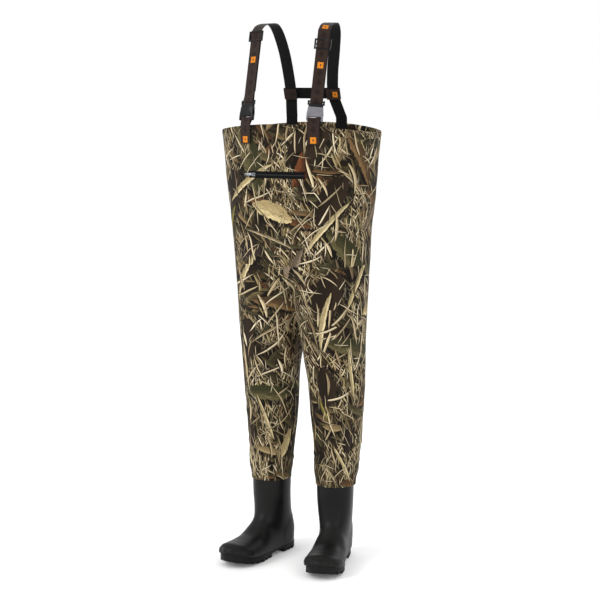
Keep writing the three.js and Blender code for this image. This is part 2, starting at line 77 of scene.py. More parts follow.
# ---- camera, light and floor
VIEW_AZIMUTH, VIEW_TILT = math.radians(24), math.radians(7.88)
VIEW_DISTANCE, VIEW_HEIGHT, VIEW_SIDE_SHIFT = 4.48, 1.357, 0.0069
LENS, SENSOR, CLIP_END = 96.8, 36, 200
camera = bpy.data.objects.new("camera", bpy.data.cameras.new("camera"))
bpy.context.scene.collection.objects.link(camera)
backward = Vector((math.sin(VIEW_AZIMUTH), -math.cos(VIEW_AZIMUTH), 0))
right = Vector((math.cos(VIEW_AZIMUTH), math.sin(VIEW_AZIMUTH), 0))
middle = Vector((0, DEPTH_SHIFT * MM, VIEW_HEIGHT))
camera.location = middle + backward * VIEW_DISTANCE - right * VIEW_SIDE_SHIFT
camera.rotation_euler = (math.pi / 2 - VIEW_TILT, 0, VIEW_AZIMUTH)
camera.data.sensor_width = SENSOR
camera.data.lens = LENS
camera.data.clip_end = CLIP_END
bpy.context.scene.camera = camera
bpy.context.scene.view_settings.view_transform = "Standard"


def area_light(name, location, target, size, energy):
    data = bpy.data.lights.new(name, "AREA")
    data.shape = "RECTANGLE"
    data.size, data.size_y = size
    data.energy = energy
    light = bpy.data.objects.new(name, data)
    bpy.context.scene.collection.objects.link(light)
    light.location = location
    light.rotation_euler = (Vector(target) - Vector(location)).to_track_quat("-Z", "Y").to_euler()


area_light("key", (-2.2, -3.4, 3.0), (0, 0, 0.8), (1.8, 2.2), 78)
area_light("fill", (3.4, -2.4, 1.9), (0, 0, 0.8), (1.6, 2.4), 30)
area_light("back", (0.4, 3.2, 3.0), (0, 0, 0.9), (2.4, 1.6), 22)

world = bpy.data.worlds.new("studio")
bpy.context.scene.world = world
world.use_nodes = True
world.node_tree.nodes["Background"].inputs["Color"].default_value = (1, 1, 1, 1)
world.node_tree.nodes["Background"].inputs["Strength"].default_value = 1.0


# ---- material tools
def srgb(code):
    """A hex colour as linear RGBA."""
    out = []
    for i in (0, 2, 4):
        c = int(code[i:i + 2], 16) / 255
        out.append(c / 12.92 if c <= 0.04045 else ((c + 0.055) / 1.055) ** 2.4)
    return (*out, 1)


class Graph:
    """A material's node tree, with short calls that each add one node."""

    def __init__(self, name, roughness=0.7, specular=0.5):
        self.material = bpy.data.materials.new(name)
        self.material.use_nodes = True
        self.tree = self.material.node_tree
        self.shader = self.tree.nodes["Principled BSDF"]
        self.shader.inputs["Roughness"].default_value = roughness
        self.shader.inputs["Specular IOR Level"].default_value = specular

    def put(self, socket, value):
        if isinstance(value, bpy.types.NodeSocket):
            self.tree.links.new(value, socket)
        elif value is not None:
            socket.default_value = srgb(value) if isinstance(value, str) else value

    def node(self, kind, given=(), out=0, **settings):
        """Adds a node, given its inputs by name or in order. Returns one output, or all for out None."""
        made = self.tree.nodes.new(kind)
        for key, value in settings.items():
            setattr(made, key, value)
        for key, value in given.items() if isinstance(given, dict) else enumerate(given):
            self.put(made.inputs[key], value)
        return made.outputs if out is None else made.outputs[out]

    def math(self, operation, *values):
        return self.node("ShaderNodeMath", values, operation=operation)

    def add(self, a, b):
        return self.math("ADD", a, b)

    def sub(self, a, b):
        return self.math("SUBTRACT", a, b)

    def mul(self, a, b):
        return self.math("MULTIPLY", a, b)

    def abs(self, a):
        return self.math("ABSOLUTE", a)

    def vec(self, operation, a, b=None, scale=None):
        return self.node("ShaderNodeVectorMath", (a, b, None, scale), operation=operation)

    def step(self, value, low, high, out_low=0.0, out_high=1.0):
        """A smooth step from out_low to out_high while value goes from low to high."""
        given = {"Value": value, "From Min": low, "From Max": high, "To Min": out_low, "To Max": out_high}
        return self.node("ShaderNodeMapRange", given, interpolation_type="SMOOTHSTEP")

    def split(self, vector):
        return self.node("ShaderNodeSeparateXYZ", (vector,), None)

    def mapping(self, vector, location=(0, 0, 0), rotation=0.0, scale=(1, 1, 1)):
        given = {"Vector": vector, "Location": location, "Rotation": (0, 0, rotation), "Scale": scale}
        return self.node("ShaderNodeMapping", given, vector_type="POINT")

    def noise(self, vector, scale, detail=2.0, roughness=0.5, out="Fac"):
        given = {"Vector": vector, "Scale": scale, "Detail": detail, "Roughness": roughness}
        return self.node("ShaderNodeTexNoise", given, out)

    def voronoi(self, vector):
        given = {"Vector": vector, "Scale": 1.0}
        return self.node("ShaderNodeTexVoronoi", given, None, voronoi_dimensions="2D")

    def wave(self, vector, scale, direction="X", distortion=0.0):
        given = {"Vector": vector, "Scale": scale, "Distortion": distortion}
        return self.node("ShaderNodeTexWave", given, "Fac", bands_direction=direction)

    def ramp(self, value, stops):
        out = self.node("ShaderNodeValToRGB", (value,))
        elements = out.node.color_ramp.elements
        while len(elements) < len(stops):
            elements.new(0.5)
        for element, (place, colour) in zip(elements, stops):
            element.position = place
            element.color = srgb(colour)
        return out

    def mix(self, share, a, b):
        return self.node("ShaderNodeMix", {0: share, 6: a, 7: b}, 2, data_type="RGBA")

    def uv(self, name):
        return self.node("ShaderNodeUVMap", uv_map=name)

    def place(self):
        return self.node("ShaderNodeTexCoord", out="Object")

    def colour(self, value):
        self.put(self.shader.inputs["Base Color"], value)

    def roughness(self, value):
        self.put(self.shader.inputs["Roughness"], value)

    def sheen(self, weight):
        self.shader.inputs["Sheen Weight"].default_value = weight

    def bump(self, height, distance, strength=1.0, after=None):
        given = {"Strength": strength, "Distance": distance, "Height": height, "Normal": after}
        made = self.node("ShaderNodeBump", given)
        self.put(self.shader.inputs["Normal"], made)
        return made


# ---- marsh print
REED = ((0, "574b38"), (0.2, "8c7d60"), (0.45, "baab89"), (0.75, "d8cba7"), (1, "ebe2c6"))
STRAW = ((0, "3a3222"), (0.3, "62563b"), (0.6, "8c7f5a"), (1, "b8ab80"))
LEAF = ((0, "221d14"), (0.25, "3d3b28"), (0.5, "504b33"), (0.7, "6b5c40"), (0.85, "593c25"), (1, "93835f"))
DARK_LEAF = ((0, "120e0a"), (0.3, "1f1912"), (0.55, "2e281c"), (0.8, "3d3927"), (1, "4b301d"))
STALK = ((0, "8d8064"), (0.45, "c0b390"), (1, "e8dec2"))
LITTER = ((0.32, "0f0c08"), (0.46, "1e1811"), (0.55, "30291c"), (0.63, "434029"), (0.74, "665c40"))
SHADOW, SHADOW_SHARE = "0d0a07", 0.8


class Group(Graph):
    """A node group, made once and used many times. Its sockets are given as kind:name."""

    KINDS = {"f": "NodeSocketFloat", "v": "NodeSocketVector", "c": "NodeSocketColor"}

    def __init__(self, name, inputs, outputs):
        self.tree = bpy.data.node_groups.new(name, "ShaderNodeTree")
        for direction, sockets in (("INPUT", inputs), ("OUTPUT", outputs)):
            for socket in sockets.split():
                kind, label = socket.split(":")
                self.tree.interface.new_socket(label, in_out=direction, socket_type=self.KINDS[kind])
        self.given = list(self.tree.nodes.new("NodeGroupInput").outputs)[:-1]
        self.result = self.tree.nodes.new("NodeGroupOutput").inputs

    def give(self, *values):
        for socket, value in zip(self.result, values):
            self.put(socket, value)


def use(g, group, *values):
    return g.node("ShaderNodeGroup", values, None, node_tree=group.tree)


def turned_by(g, vector, angle):
    return g.node("ShaderNodeVectorRotate", {"Vector": vector, "Angle": angle}, rotation_type="Z_AXIS")


def blade_group():
    """One blade in each cell of a stretched grid of cells, in millimetres of cloth."""
    g = Group(
        "blade_layer",
        "v:cloth f:seed f:angle v:cell f:half_width f:half_length f:spread f:bend f:density",
        "f:cover f:tone f:light f:shadow",
    )
    cloth, seed, angle, cell, half_width, half_length, spread, bend, density = g.given
    start = g.node("ShaderNodeCombineXYZ", (g.mul(seed, 0.37), g.mul(seed, 0.53), 0.0))
    moved = g.vec("ADD", cloth, start)
    scaled = g.vec("DIVIDE", g.vec("SCALE", turned_by(g, moved, angle), None, 1000.0), cell)
    cells = g.voronoi(scaled)
    local = g.vec("MULTIPLY", g.vec("SUBTRACT", scaled, cells["Position"]), cell)
    r1, r2, r3 = g.split(cells["Color"])
    x, y, _ = g.split(local)
    turn = g.mul(g.sub(r1, 0.5), spread)
    along = g.add(x, g.mul(y, turn))
    bow = g.mul(g.sub(r2, 0.5), bend)
    across = g.sub(y, g.mul(x, turn))
    across = g.add(across, g.mul(g.mul(along, along), bow))
    reach = g.mul(half_length, g.math("MULTIPLY_ADD", r3, 0.7, 0.5))
    share = g.math("DIVIDE", along, reach)
    taper = g.sub(1.0, g.mul(share, share))
    width = g.mul(g.mul(half_width, g.math("MULTIPLY_ADD", r2, 0.9, 0.55)), taper)
    there = g.math("LESS_THAN", g.math("FRACT", g.mul(r1, 7.31)), density)
    cover = g.mul(g.step(g.sub(width, g.abs(across)), 0.0, 0.5), there)
    low = g.add(across, g.mul(half_width, 0.6))
    shade = g.step(g.sub(g.mul(width, 1.6), g.abs(low)), -1.4, 1.8)
    side = g.math("DIVIDE", across, g.math("MAXIMUM", width, 0.2))
    light = g.step(side, -1.0, 1.0, 1.2, 0.55)
    vein = g.step(g.abs(g.add(side, 0.1)), 0.0, 0.2, 0.72, 1.0)
    ends = g.step(g.abs(share), 0.5, 1.0, 1.0, 0.72)
    tone = g.math("FRACT", g.math("MULTIPLY_ADD", r3, 5.3, r1))
    g.give(cover, tone, g.mul(g.mul(light, vein), ends), g.mul(shade, there))
    return g


def leaf_group():
    """A single large leaf or stem at a place on the cloth, in millimetres."""
    g = Group(
        "single_leaf",
        "v:cloth v:middle f:angle f:half_length f:half_width f:bow c:light c:deep",
        "f:cover c:colour f:shadow",
    )
    cloth, middle, angle, half_length, half_width, bow, light, deep = g.given
    moved = g.vec("SUBTRACT", cloth, middle)
    local = turned_by(g, g.vec("SCALE", moved, None, 1000.0), g.mul(angle, -1.0))
    x, y, _ = g.split(local)
    rough = g.mul(g.sub(g.noise(moved, 60.0, 4.0, 0.6), 0.5), g.mul(half_width, 1.1))
    across = g.add(g.add(y, g.mul(g.mul(x, x), bow)), rough)
    share = g.math("DIVIDE", x, half_length)
    square = g.mul(share, share)
    taper = g.sub(1.0, g.mul(square, g.math("MULTIPLY_ADD", square, 0.5, 0.5)))
    width = g.mul(half_width, taper)
    side = g.math("DIVIDE", across, g.math("MAXIMUM", width, 0.3))
    cover = g.step(g.sub(width, g.abs(across)), 0.0, 0.6)
    low = g.add(across, g.mul(half_width, 0.35))
    shadow = g.step(g.sub(g.mul(width, 1.35), g.abs(low)), -1.5, 2.5)
    grain = g.noise(g.vec("MULTIPLY", local, (0.045, 0.42, 1.0)), 1.0, 3.0)
    tone = g.mix(g.step(g.add(side, g.mul(grain, 0.8)), -0.5, 0.9), light, deep)
    tone = g.mix(g.step(grain, 0.4, 0.75, 0.0, 0.5), tone, "2b2417")
    vein = g.step(g.abs(g.add(side, 0.12)), 0.03, 0.1, 0.45, 0.0)
    g.give(cover, g.mix(vein, tone, "1e1810"), shadow)
    return g


BLADES, LEAVES = blade_group(), leaf_group()


def tie(g, under, cloth):
    """The place on the cloth, tied to the colour under it by a vanishing amount, so that layers are
    worked out one after another."""
    return g.node("ShaderNodeVectorMath", (under, (1e-7, 1e-7, 1e-7), cloth), operation="MULTIPLY_ADD")


def lay_blades(g, under, cloth, seed, angle, cell, shape, palette, share=None):
    """Puts a layer of blades with its shadow over a colour."""
    place = tie(g, under, cloth)
    cover, tone, light, shadow = use(g, BLADES, place, seed, math.radians(angle), (*cell, 1.0), *shape)
    if share is not None:
        cover, shadow = g.mul(cover, share), g.mul(shadow, share)
    shaded = g.mix(g.mul(shadow, SHADOW_SHARE), under, SHADOW)
    return g.mix(cover, shaded, g.vec("SCALE", g.ramp(tone, palette), None, light))


def lay_leaf(g, under, cloth, middle, angle, *look):
    """Puts one large leaf or stem with its shadow over a colour."""
    place = (middle[0] * MM, middle[1] * MM, 0)
    cover, tone, shadow = use(g, LEAVES, tie(g, under, cloth), place, math.radians(angle), *look)
    shaded = g.mix(g.mul(shadow, SHADOW_SHARE), under, SHADOW)
    return g.mix(cover, shaded, tone)


# Layers of blades, from the lowest up: seed, angle, cell, then half width, half length, spread, bend
# and density, then the palette, and where the layer is held back.
LOW_BLADES = (
    (1, 40, (70, 30), (10, 42, 1.2, 0.012, 0.8), DARK_LEAF, None),
    (2, 118, (95, 38), (11, 55, 0.9, 0.008, 0.45), LEAF, "sparse"),
    (3, 12, (60, 17), (4, 34, 0.9, 0.012, 0.4), LEAF, "sparse"),
    (4, 65, (74, 12), (2.6, 44, 0.5, 0.010, 0.4), STRAW, "sparse"),
    (5, 52, (46, 7.5), (1.7, 30, 0.6, 0.022, 0.8), REED, "reedy"),
    (6, 108, (40, 8), (1.7, 28, 0.8, 0.026, 0.65), REED, "reedy"),
    (7, 80, (44, 9), (2.0, 30, 0.6, 0.02, 0.55), STRAW, "reedy"),
    (8, 20, (120, 44), (9, 70, 0.7, 0.004, 0.3), LEAF, "sparse"),
)
HIGH_BLADES = (
    (9, 140, (104, 32), (2.1, 60, 0.8, 0.008, 0.4), STALK, None),
    (13, 84, (84, 26), (3.2, 48, 0.9, 0.012, 0.4), REED, None),
    (10, 72, (120, 44), (1.7, 66, 0.6, 0.005, 0.38), STALK, None),
    (11, 28, (64, 22), (1.2, 34, 1.0, 0.012, 0.42), REED, "sparse"),
    (12, 95, (44, 17), (1.1, 24, 1.0, 0.02, 0.4), STALK, "sparse"),
)


# Large leaves and stems of the print, from the lowest layer up. Each kind has how many there are,
# its half length and half width in millimetres, its bow, its angle and how far that varies, and its
# lit and shaded colours.
LEAF_KINDS = (
    (16, 66, 30, 0.0002, 78, 30, "2d231b", "1d1610"),
    (6, 46, 24, 0.001, 30, 60, "2e2626", "1e1818"),
    (7, 92, 24, 0.0006, -30, 50, "5c573b", "30321e"),
    (6, 62, 14, 0.002, -16, 50, "7a6242", "483726"),
    (7, 56, 20, 0.001, 14, 60, "d2c496", "a3946b"),
    (6, 50, 11, 0.001, 80, 50, "877968", "5a4f42"),
    (6, 42, 15, 0.005, -50, 70, "6e4024", "3a2214"),
    (5, 44, 6, 0.002, 84, 50, "9a9048", "5f5a2e"),
    (18, 84, 6.4, 0.0006, 74, 55, "dccfa4", "a0946e"),
    (10, 76, 3.4, 0.001, 20, 90, "bfb395", "7c7056"),
)
CLOTH_HALF_TURN, LEAF_LOW, LEAF_HIGH = 570, 270, 1200
LEAF_COUNT_START = 11
EVEN_STEP = (0.7548776662, 0.5698402910, 0.4301597090)


def large_leaves():
    """Spreads every kind of leaf evenly over the cloth, by steps that never repeat."""
    made, index = [], LEAF_COUNT_START
    for many, half_length, half_width, bow, angle, vary, light, deep in LEAF_KINDS:
        for _ in range(many):
            index += 1
            a, b, c = ((index * step) % 1 for step in EVEN_STEP)
            size = 0.8 + 0.5 * b
            place = ((2 * a - 1) * CLOTH_HALF_TURN, LEAF_LOW + (LEAF_HIGH - LEAF_LOW) * b)
            turn = angle + (2 * c - 1) * vary
            made.append((place, turn, half_length * size, half_width * size, bow, light, deep))
    return made


def marsh_print():
    """Camouflage of reeds, leaves and stems, drawn on the cloth in metres."""
    g = Graph("marsh_print_neoprene", roughness=0.85, specular=0.12)
    uv = g.uv("cloth")
    drift = g.vec("SUBTRACT", g.noise(uv, 7.0, 2.0, out="Color"), (0.5, 0.5, 0.5))
    bent = g.vec("ADD", uv, g.vec("SCALE", drift, None, 0.03))
    height = g.split(uv)[1]
    masks = {
        None: None,
        "reedy": g.step(g.noise(g.mapping(uv, (0.31, 0.12, 0)), 7.0, 1.0), 0.42, 0.52),
        "sparse": g.sub(1.0, g.mul(g.step(height, 0.82, 0.62), 0.1)),
    }
    # ground of mottled leaf litter
    ground = g.ramp(g.noise(bent, 24.0, 5.0, 0.66), LITTER)
    warm = g.step(g.noise(g.mapping(uv, (3.1, 1.7, 0)), 8.0, 2.0), 0.5, 0.66)
    ground = g.mix(g.mul(warm, 0.6), ground, "331d11")
    flakes = g.voronoi(g.mapping(bent, (0, 0, 0), 0.5, (120, 75, 1)))
    pick, tone, _ = g.split(flakes["Color"])
    chip = g.mul(g.math("GREATER_THAN", pick, 0.66), g.step(flakes["Distance"], 0.42, 0.3))
    out = g.mix(g.mul(chip, 0.75), ground, g.ramp(tone, DARK_LEAF))
    for *layer, mask in LOW_BLADES:
        out = lay_blades(g, out, bent, *layer, masks[mask])
    for leaf in large_leaves():
        out = lay_leaf(g, out, uv, *leaf)
    for *layer, mask in HIGH_BLADES:
        out = lay_blades(g, out, bent, *layer, masks[mask])
    speck = g.noise(uv, 420.0, 2.0)
    out = g.mix(g.step(speck, 0.35, 0.7, 0.0, 0.22), out, "14100b")
    g.colour(g.vec("MULTIPLY", out, (1.03, 0.965, 0.91)))
    g.roughness(g.step(speck, 0.3, 0.7, 0.76, 0.94))
    knit = g.mul(g.wave(uv, 520.0, "X"), g.wave(uv, 400.0, "Y"))
    first = g.bump(knit, 0.0002, 0.35)
    g.bump(g.noise(uv, 60.0, 3.0), 0.0012, 0.3, first)
    g.sheen(0.04)
    g.shader.inputs["Sheen Roughness"].default_value = 0.4
    return g.material


def lining():
    g = Graph("charcoal_knit_lining", roughness=0.92, specular=0.2)
    uv = g.uv("cloth")
    rib = g.wave(uv, 620.0, "X", 0.6)
    fleck = g.noise(uv, 300.0, 3.0)
    g.colour(g.mix(g.mul(rib, fleck), "191918", "3b3b38"))
    g.roughness(g.step(fleck, 0.3, 0.7, 0.85, 0.98))
    g.bump(rib, 0.0003, 0.5)
    g.sheen(0.15)
    return g.material


def webbing(name, base, thread, marked):
    """Woven elastic. Its uv runs across the strap and along it, in metres."""
    g = Graph(name, roughness=0.86, specular=0.12)
    uv = g.uv("strap")
    x, y, _ = g.split(uv)
    weft = g.wave(uv, 260.0, "Y")
    warp = g.wave(uv, 210.0, "X")
    tone = g.mix(g.mul(weft, warp), base, thread)
    tone = g.mix(g.step(g.noise(uv, 90.0, 3.0), 0.35, 0.75, 0.0, 0.35), tone, base)
    if marked:
        # small woven lozenges and bars repeated along the strap
        y1 = g.sub(g.math("PINGPONG", g.mul(y, 1000.0), 26.0), 13.0)
        x1 = g.mul(x, 1000.0)
        ring = g.add(g.abs(x1), g.mul(g.abs(y1), 0.8))
        band = g.abs(g.sub(ring, 6.2))
        lozenge = g.step(band, 1.7, 0.9)
        heart = g.step(ring, 3.0, 2.2)
        tone = g.mix(g.mul(g.math("MAXIMUM", lozenge, heart), 0.9), tone, "0c0807")
    edge = g.step(g.abs(x), 0.0135, 0.0155)
    tone = g.mix(g.mul(edge, 0.45), tone, "1c1512")
    g.colour(tone)
    g.bump(g.mul(weft, warp), 0.0004, 0.6)
    g.sheen(0.12)
    return g.material


def label_cloth():
    """Orange woven patch with a plain dark lozenge."""
    g = Graph("orange_woven_label", roughness=0.8, specular=0.3)
    uv = g.uv("strap")
    x, y, _ = g.split(uv)
    weft = g.wave(uv, 420.0, "Y")
    tone = g.mix(weft, "c06a0c", "de8c1c")
    right, up = g.abs(g.mul(x, 1000.0)), g.abs(g.mul(y, 1000.0))
    border = g.abs(g.sub(g.math("MAXIMUM", right, up), 6.6))
    tone = g.mix(g.step(border, 0.5, 0.2, 0.0, 0.6), tone, "8a4408")
    slant = g.add(g.mul(right, 1.4), g.mul(up, 0.9))
    tone = g.mix(g.step(slant, 3.9, 3.3), tone, "3a1d0a")
    g.colour(tone)
    g.bump(weft, 0.0003, 0.5)
    return g.material


def rubber(name, base, light, rough):
    """Moulded boot rubber: satin, with mottling, fine grain and dust in the low places."""
    g = Graph(name, roughness=rough, specular=0.15)
    at = g.place()
    cloud = g.noise(at, 9.0, 4.0, 0.6)
    grain = g.noise(at, 900.0, 2.0)
    tone = g.mix(g.step(cloud, 0.35, 0.7), base, light)
    scuff = g.step(g.noise(g.mapping(at, (0, 0, 0), 0.3, (18, 18, 90)), 1.0, 4.0, 0.7), 0.66, 0.8)
    tone = g.mix(g.mul(scuff, 0.25), tone, "2e2e2c")
    g.colour(tone)
    satin = g.step(cloud, 0.3, 0.7, rough - 0.07, rough + 0.07)
    g.roughness(g.add(satin, g.mul(scuff, 0.12)))
    first = g.bump(grain, 0.00015, 0.35)
    g.bump(g.noise(at, 26.0, 3.0), 0.001, 0.18, first)
    return g.material


def plastic(name, base, light, rough):
    """Moulded nylon: fine spark texture and slight flow marks."""
    g = Graph(name, roughness=rough, specular=0.22)
    at = g.place()
    spark = g.noise(at, 1500.0, 2.0)
    flow = g.noise(g.mapping(at, (0, 0, 0), 0, (60, 60, 160)), 1.0, 3.0)
    g.colour(g.mix(g.step(flow, 0.35, 0.7), base, light))
    g.roughness(g.step(spark, 0.3, 0.7, rough - 0.06, rough + 0.08))
    g.bump(spark, 0.00008, 0.5)
    return g.material


def zip_cloth():
    g = Graph("zip_tape_black", roughness=0.85, specular=0.1)
    uv = g.uv("cloth")
    twill = g.wave(g.mapping(uv, (0, 0, 0), 0.7), 700.0, "X")
    g.colour(g.mix(twill, "060606", "121212"))
    g.bump(twill, 0.0002, 0.6)
    return g.material


def zip_coil():
    """Coil teeth, 1.6 mm apart, with a line where the two halves mesh."""
    g = Graph("zip_coil_nylon", roughness=0.35, specular=0.3)
    uv = g.uv("cloth")
    teeth = g.wave(uv, 196.0, "X")
    g.colour(g.mix(teeth, "08090a", "1d1f22"))
    g.roughness(g.step(teeth, 0.2, 0.8, 0.5, 0.28))
    g.bump(teeth, 0.0006, 0.9)
    return g.material


def metal():
    g = Graph("gunmetal_slider", roughness=0.32, specular=0.6)
    g.shader.inputs["Metallic"].default_value = 1.0
    at = g.place()
    wear = g.noise(at, 240.0, 4.0, 0.65)
    g.colour(g.mix(g.step(wear, 0.4, 0.7), "6a6e74", "aeb2b6"))
    g.roughness(g.step(wear, 0.3, 0.7, 0.24, 0.42))
    g.bump(wear, 0.0001, 0.4)
    return g.material


def sole_board():
    g = Graph("insole_felt", roughness=0.95, specular=0.2)
    at = g.place()
    felt = g.noise(at, 700.0, 4.0, 0.7)
    g.colour(g.mix(g.step(felt, 0.35, 0.65), "2a2a28", "4a4945"))
    g.bump(felt, 0.0005, 0.6)
    return g.material


PRINT = marsh_print()
LINING = lining()
STRAP_OUT = webbing("brown_elastic_webbing", "241915", "44322a", True)
STRAP_IN = webbing("black_elastic_webbing", "070606", "131110", False)
LABEL = label_cloth()
RUBBER = rubber("boot_rubber_charcoal", "0b0b0b", "141413", 0.4)
SOLE = rubber("outsole_rubber_black", "090909", "121211", 0.55)
BUCKLE = plastic("buckle_nylon_black", "060607", "0f0f11", 0.3)
# Black nylon coloured grey: a painted reflection of the light on the near buckle's gloss
BUCKLE_PAINTED_REFLECTION = plastic("buckle_black_nylon_painted_reflection_grey", "69676d", "727076", 0.3)
ZIP_TAPE = zip_cloth()
ZIP_COIL = zip_coil()
METAL = metal()
FELT = sole_board()


# ---- mesh tools
def make(name, points, faces, materials, uvs=None, layer="cloth", indices=None):
    """A smooth mesh object from row-frame points. uvs holds one pair for each corner of each face."""
    mesh = bpy.data.meshes.new(name)
    mesh.from_pydata([tuple(p) for p in points], [], [tuple(f) for f in faces])
    for material in materials:
        mesh.materials.append(material)
    if indices is not None:
        mesh.polygons.foreach_set("material_index", np.array(indices, np.int32))
    mesh.polygons.foreach_set("use_smooth", np.full(len(mesh.polygons), True))
    if uvs is not None:
        mesh.uv_layers.new(name=layer).data.foreach_set("uv", np.array(uvs, np.float32).ravel())
    mesh.update()
    made = bpy.data.objects.new(name, mesh)
    bpy.context.scene.collection.objects.link(made)
    return made


def pull(collection, key, width=1, kind=float):
    """A property of every element of a mesh, as an array."""
    out = np.empty(len(collection) * width, kind)
    collection.foreach_get(key, out)
    return out.reshape(-1, width) if width > 1 else out


def belongs(piece, body_name, slot, *stands_for):
    """Puts a piece on a body in place of CAD nodes, which it hides. Its slot is not used."""
    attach(piece, body_name)
    if stands_for:
        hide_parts(*stands_for)


def face_out(piece):
    """Turns the faces of a closed mesh outwards, if they point in."""
    mesh = piece.data
    mesh.calc_loop_triangles()
    corners = pull(mesh.loop_triangles, "vertices", 3, np.int32)
    a, b, c = pull(mesh.vertices, "co", 3)[corners].transpose(1, 0, 2)
    if (a * np.cross(b, c)).sum() < 0:
        mesh.flip_normals()


def sharpen(piece, degrees):
    piece.data.set_sharp_from_angle(angle=math.radians(degrees))


def lengths(path):
    """How far along a path each of its points is."""
    return np.concatenate([[0], np.cumsum(np.linalg.norm(np.diff(path, axis=0), axis=1))])


def at(table, key):
    """Values of a table's columns at a key, on a smooth curve through its rows."""
    rising = 1 if table[0][0] < table[-1][0] else -1
    i = 0
    while i < len(table) - 2 and (key - table[i + 1][0]) * rising > 0:
        i += 1
    a, b = table[i], table[i + 1]
    span = b[0] - a[0]
    t = min(max((key - a[0]) / span, 0), 1)

    def slope(r, c):
        before, after = table[max(r - 1, 0)], table[min(r + 1, len(table) - 1)]
        return (after[c] - before[c]) / (after[0] - before[0])

    h = (2 * t**3 - 3 * t**2 + 1, t**3 - 2 * t**2 + t, 3 * t**2 - 2 * t**3, t**3 - t**2)
    return [
        h[0] * a[c] + h[1] * span * slope(i, c) + h[2] * b[c] + h[3] * span * slope(i + 1, c)
        for c in range(1, len(a))
    ]


def smoothstep(value, low, high):
    t = np.clip((np.asarray(value, float) - low) / (high - low), 0, 1)
    return t * t * (3 - 2 * t)


def applied(obj):
    """The object's mesh with its modifiers applied."""
    bpy.context.view_layer.update()
    evaluated = obj.evaluated_get(bpy.context.evaluated_depsgraph_get())
    mesh = bpy.data.meshes.new_from_object(evaluated)
    old = obj.data
    obj.modifiers.clear()
    obj.data = mesh
    bpy.data.meshes.remove(old)
    return obj


def loft_faces(rings, around, ends="capped"):
    """Four-sided faces between rings of points, whose ends are capped, open or joined."""
    faces = []
    for r in range(rings if ends == "joined" else rings - 1):
        here, after = r * around, (r + 1) % rings * around
        for i in range(around):
            j = (i + 1) % around
            faces.append((here + i, here + j, after + j, after + i))
    if ends == "capped":
        faces.append(tuple(reversed(range(around))))
        faces.append(tuple((rings - 1) * around + i for i in range(around)))
    return faces


# ---- the body's drawing
# Torso: height, half width, depth to the front, depth to the back.
TORSO = (
    (762, 188, 134, 131),
    (845, 193, 143, 127),
    (934, 198, 149, 121),
    (1018, 208, 154, 116),
    (1100, 217, 158, 113),
    (1156, 222, 160, 111),
    (1238, 232, 161, 110),
)
CLEFT = ((762, 0.6), (792, 0.34), (845, 0.07), (880, 0))
# Leg: height, distance from the middle, half width, half depth, distance back.
LEG = (
    (205, 100, 56.8, 59.4, 7),
    (234, 100, 57.2, 59.8, 7),
    (247.4, 100, 60, 62, 7),
    (262, 101, 62.5, 65.5, 9),
    (300, 101, 64, 68, 12),
    (345, 101, 68, 72, 15),
    (420, 100, 74, 78, 15),
    (510, 100, 79.5, 85, 10),
    (595, 95, 86.5, 95, 5),
    (680, 90, 94.5, 108, 2),
    (762, 87.5, 100, 120, 0),
    (838, 86, 99, 118, 0),
)
NEOPRENE = 4
RIM_SIDE, RIM_RISE, RIM_BLEND = 1208, 22, 60
RIM_HALF_WIDTH = 228
HIP_SEAM = 845
CUFF = 220
FACING = 1120
SQUARENESS = 2.3


def power(value, exponent):
    return np.sign(value) * np.abs(value) ** exponent


def angles(around):
    return np.arange(around) / around * 2 * math.pi


def torso_ring(level, around, inset=0.0, extra=0.0):
    a, front, back = at(TORSO, level)
    (cleft,) = at(CLEFT, level)
    angle = angles(around)
    e = 2 / SQUARENESS
    x = (a - inset) * power(np.cos(angle), e)
    depth = np.where(np.sin(angle) < 0, front, back) - inset
    y = depth * power(np.sin(angle), e) * (1 - cleft * np.exp(-((x / 46) ** 2)))
    fade = float(smoothstep(level, RIM_SIDE - RIM_BLEND, RIM_SIDE))
    z = level + fade * RIM_RISE * (1 - (x / a) ** 2) + extra
    return np.stack([x, y, z], 1)


def leg_ring(z, around, side):
    x, w, d, y = at(LEG, z)
    angle = angles(around) * side
    return np.stack([side * x + w * np.cos(angle), y + d * np.sin(angle), np.full(around, z)], 1)


def face_y(x, level, inset=0.0, back=False):
    """Y of the torso's front or back face."""
    a, front, rear = at(TORSO, level)
    depth = (rear if back else front) - inset
    share = min(abs(x) / (a - inset), 1)
    y = depth * (1 - share**SQUARENESS) ** (1 / SQUARENESS)
    return y if back else -y


def rim_height(x):
    return RIM_SIDE + RIM_RISE * (1 - (x / at(TORSO, RIM_SIDE)[0]) ** 2)


# Arc length round a typical torso section by angle from the front, so that the print isn't stretched,
# and the legs' middle line. Past the middle of the back a nominal radius serves for the arc.
TYPICAL_LEVEL, BACK_RADIUS = 1060, 200
LEG_TURN_RADIUS, LEG_MIDDLE = 88, 95
_ring = torso_ring(TYPICAL_LEVEL, 720)
_turn = np.arctan2(_ring[:, 0], -_ring[:, 1])
_order = np.argsort(_turn)
_turn = _turn[_order]
_arc = lengths(_ring[_order, :2])
_arc -= np.interp(0, _turn, _arc)
_heights = np.linspace(205, 838, 120)
_leg_middle = np.array([at(LEG, z) for z in _heights])


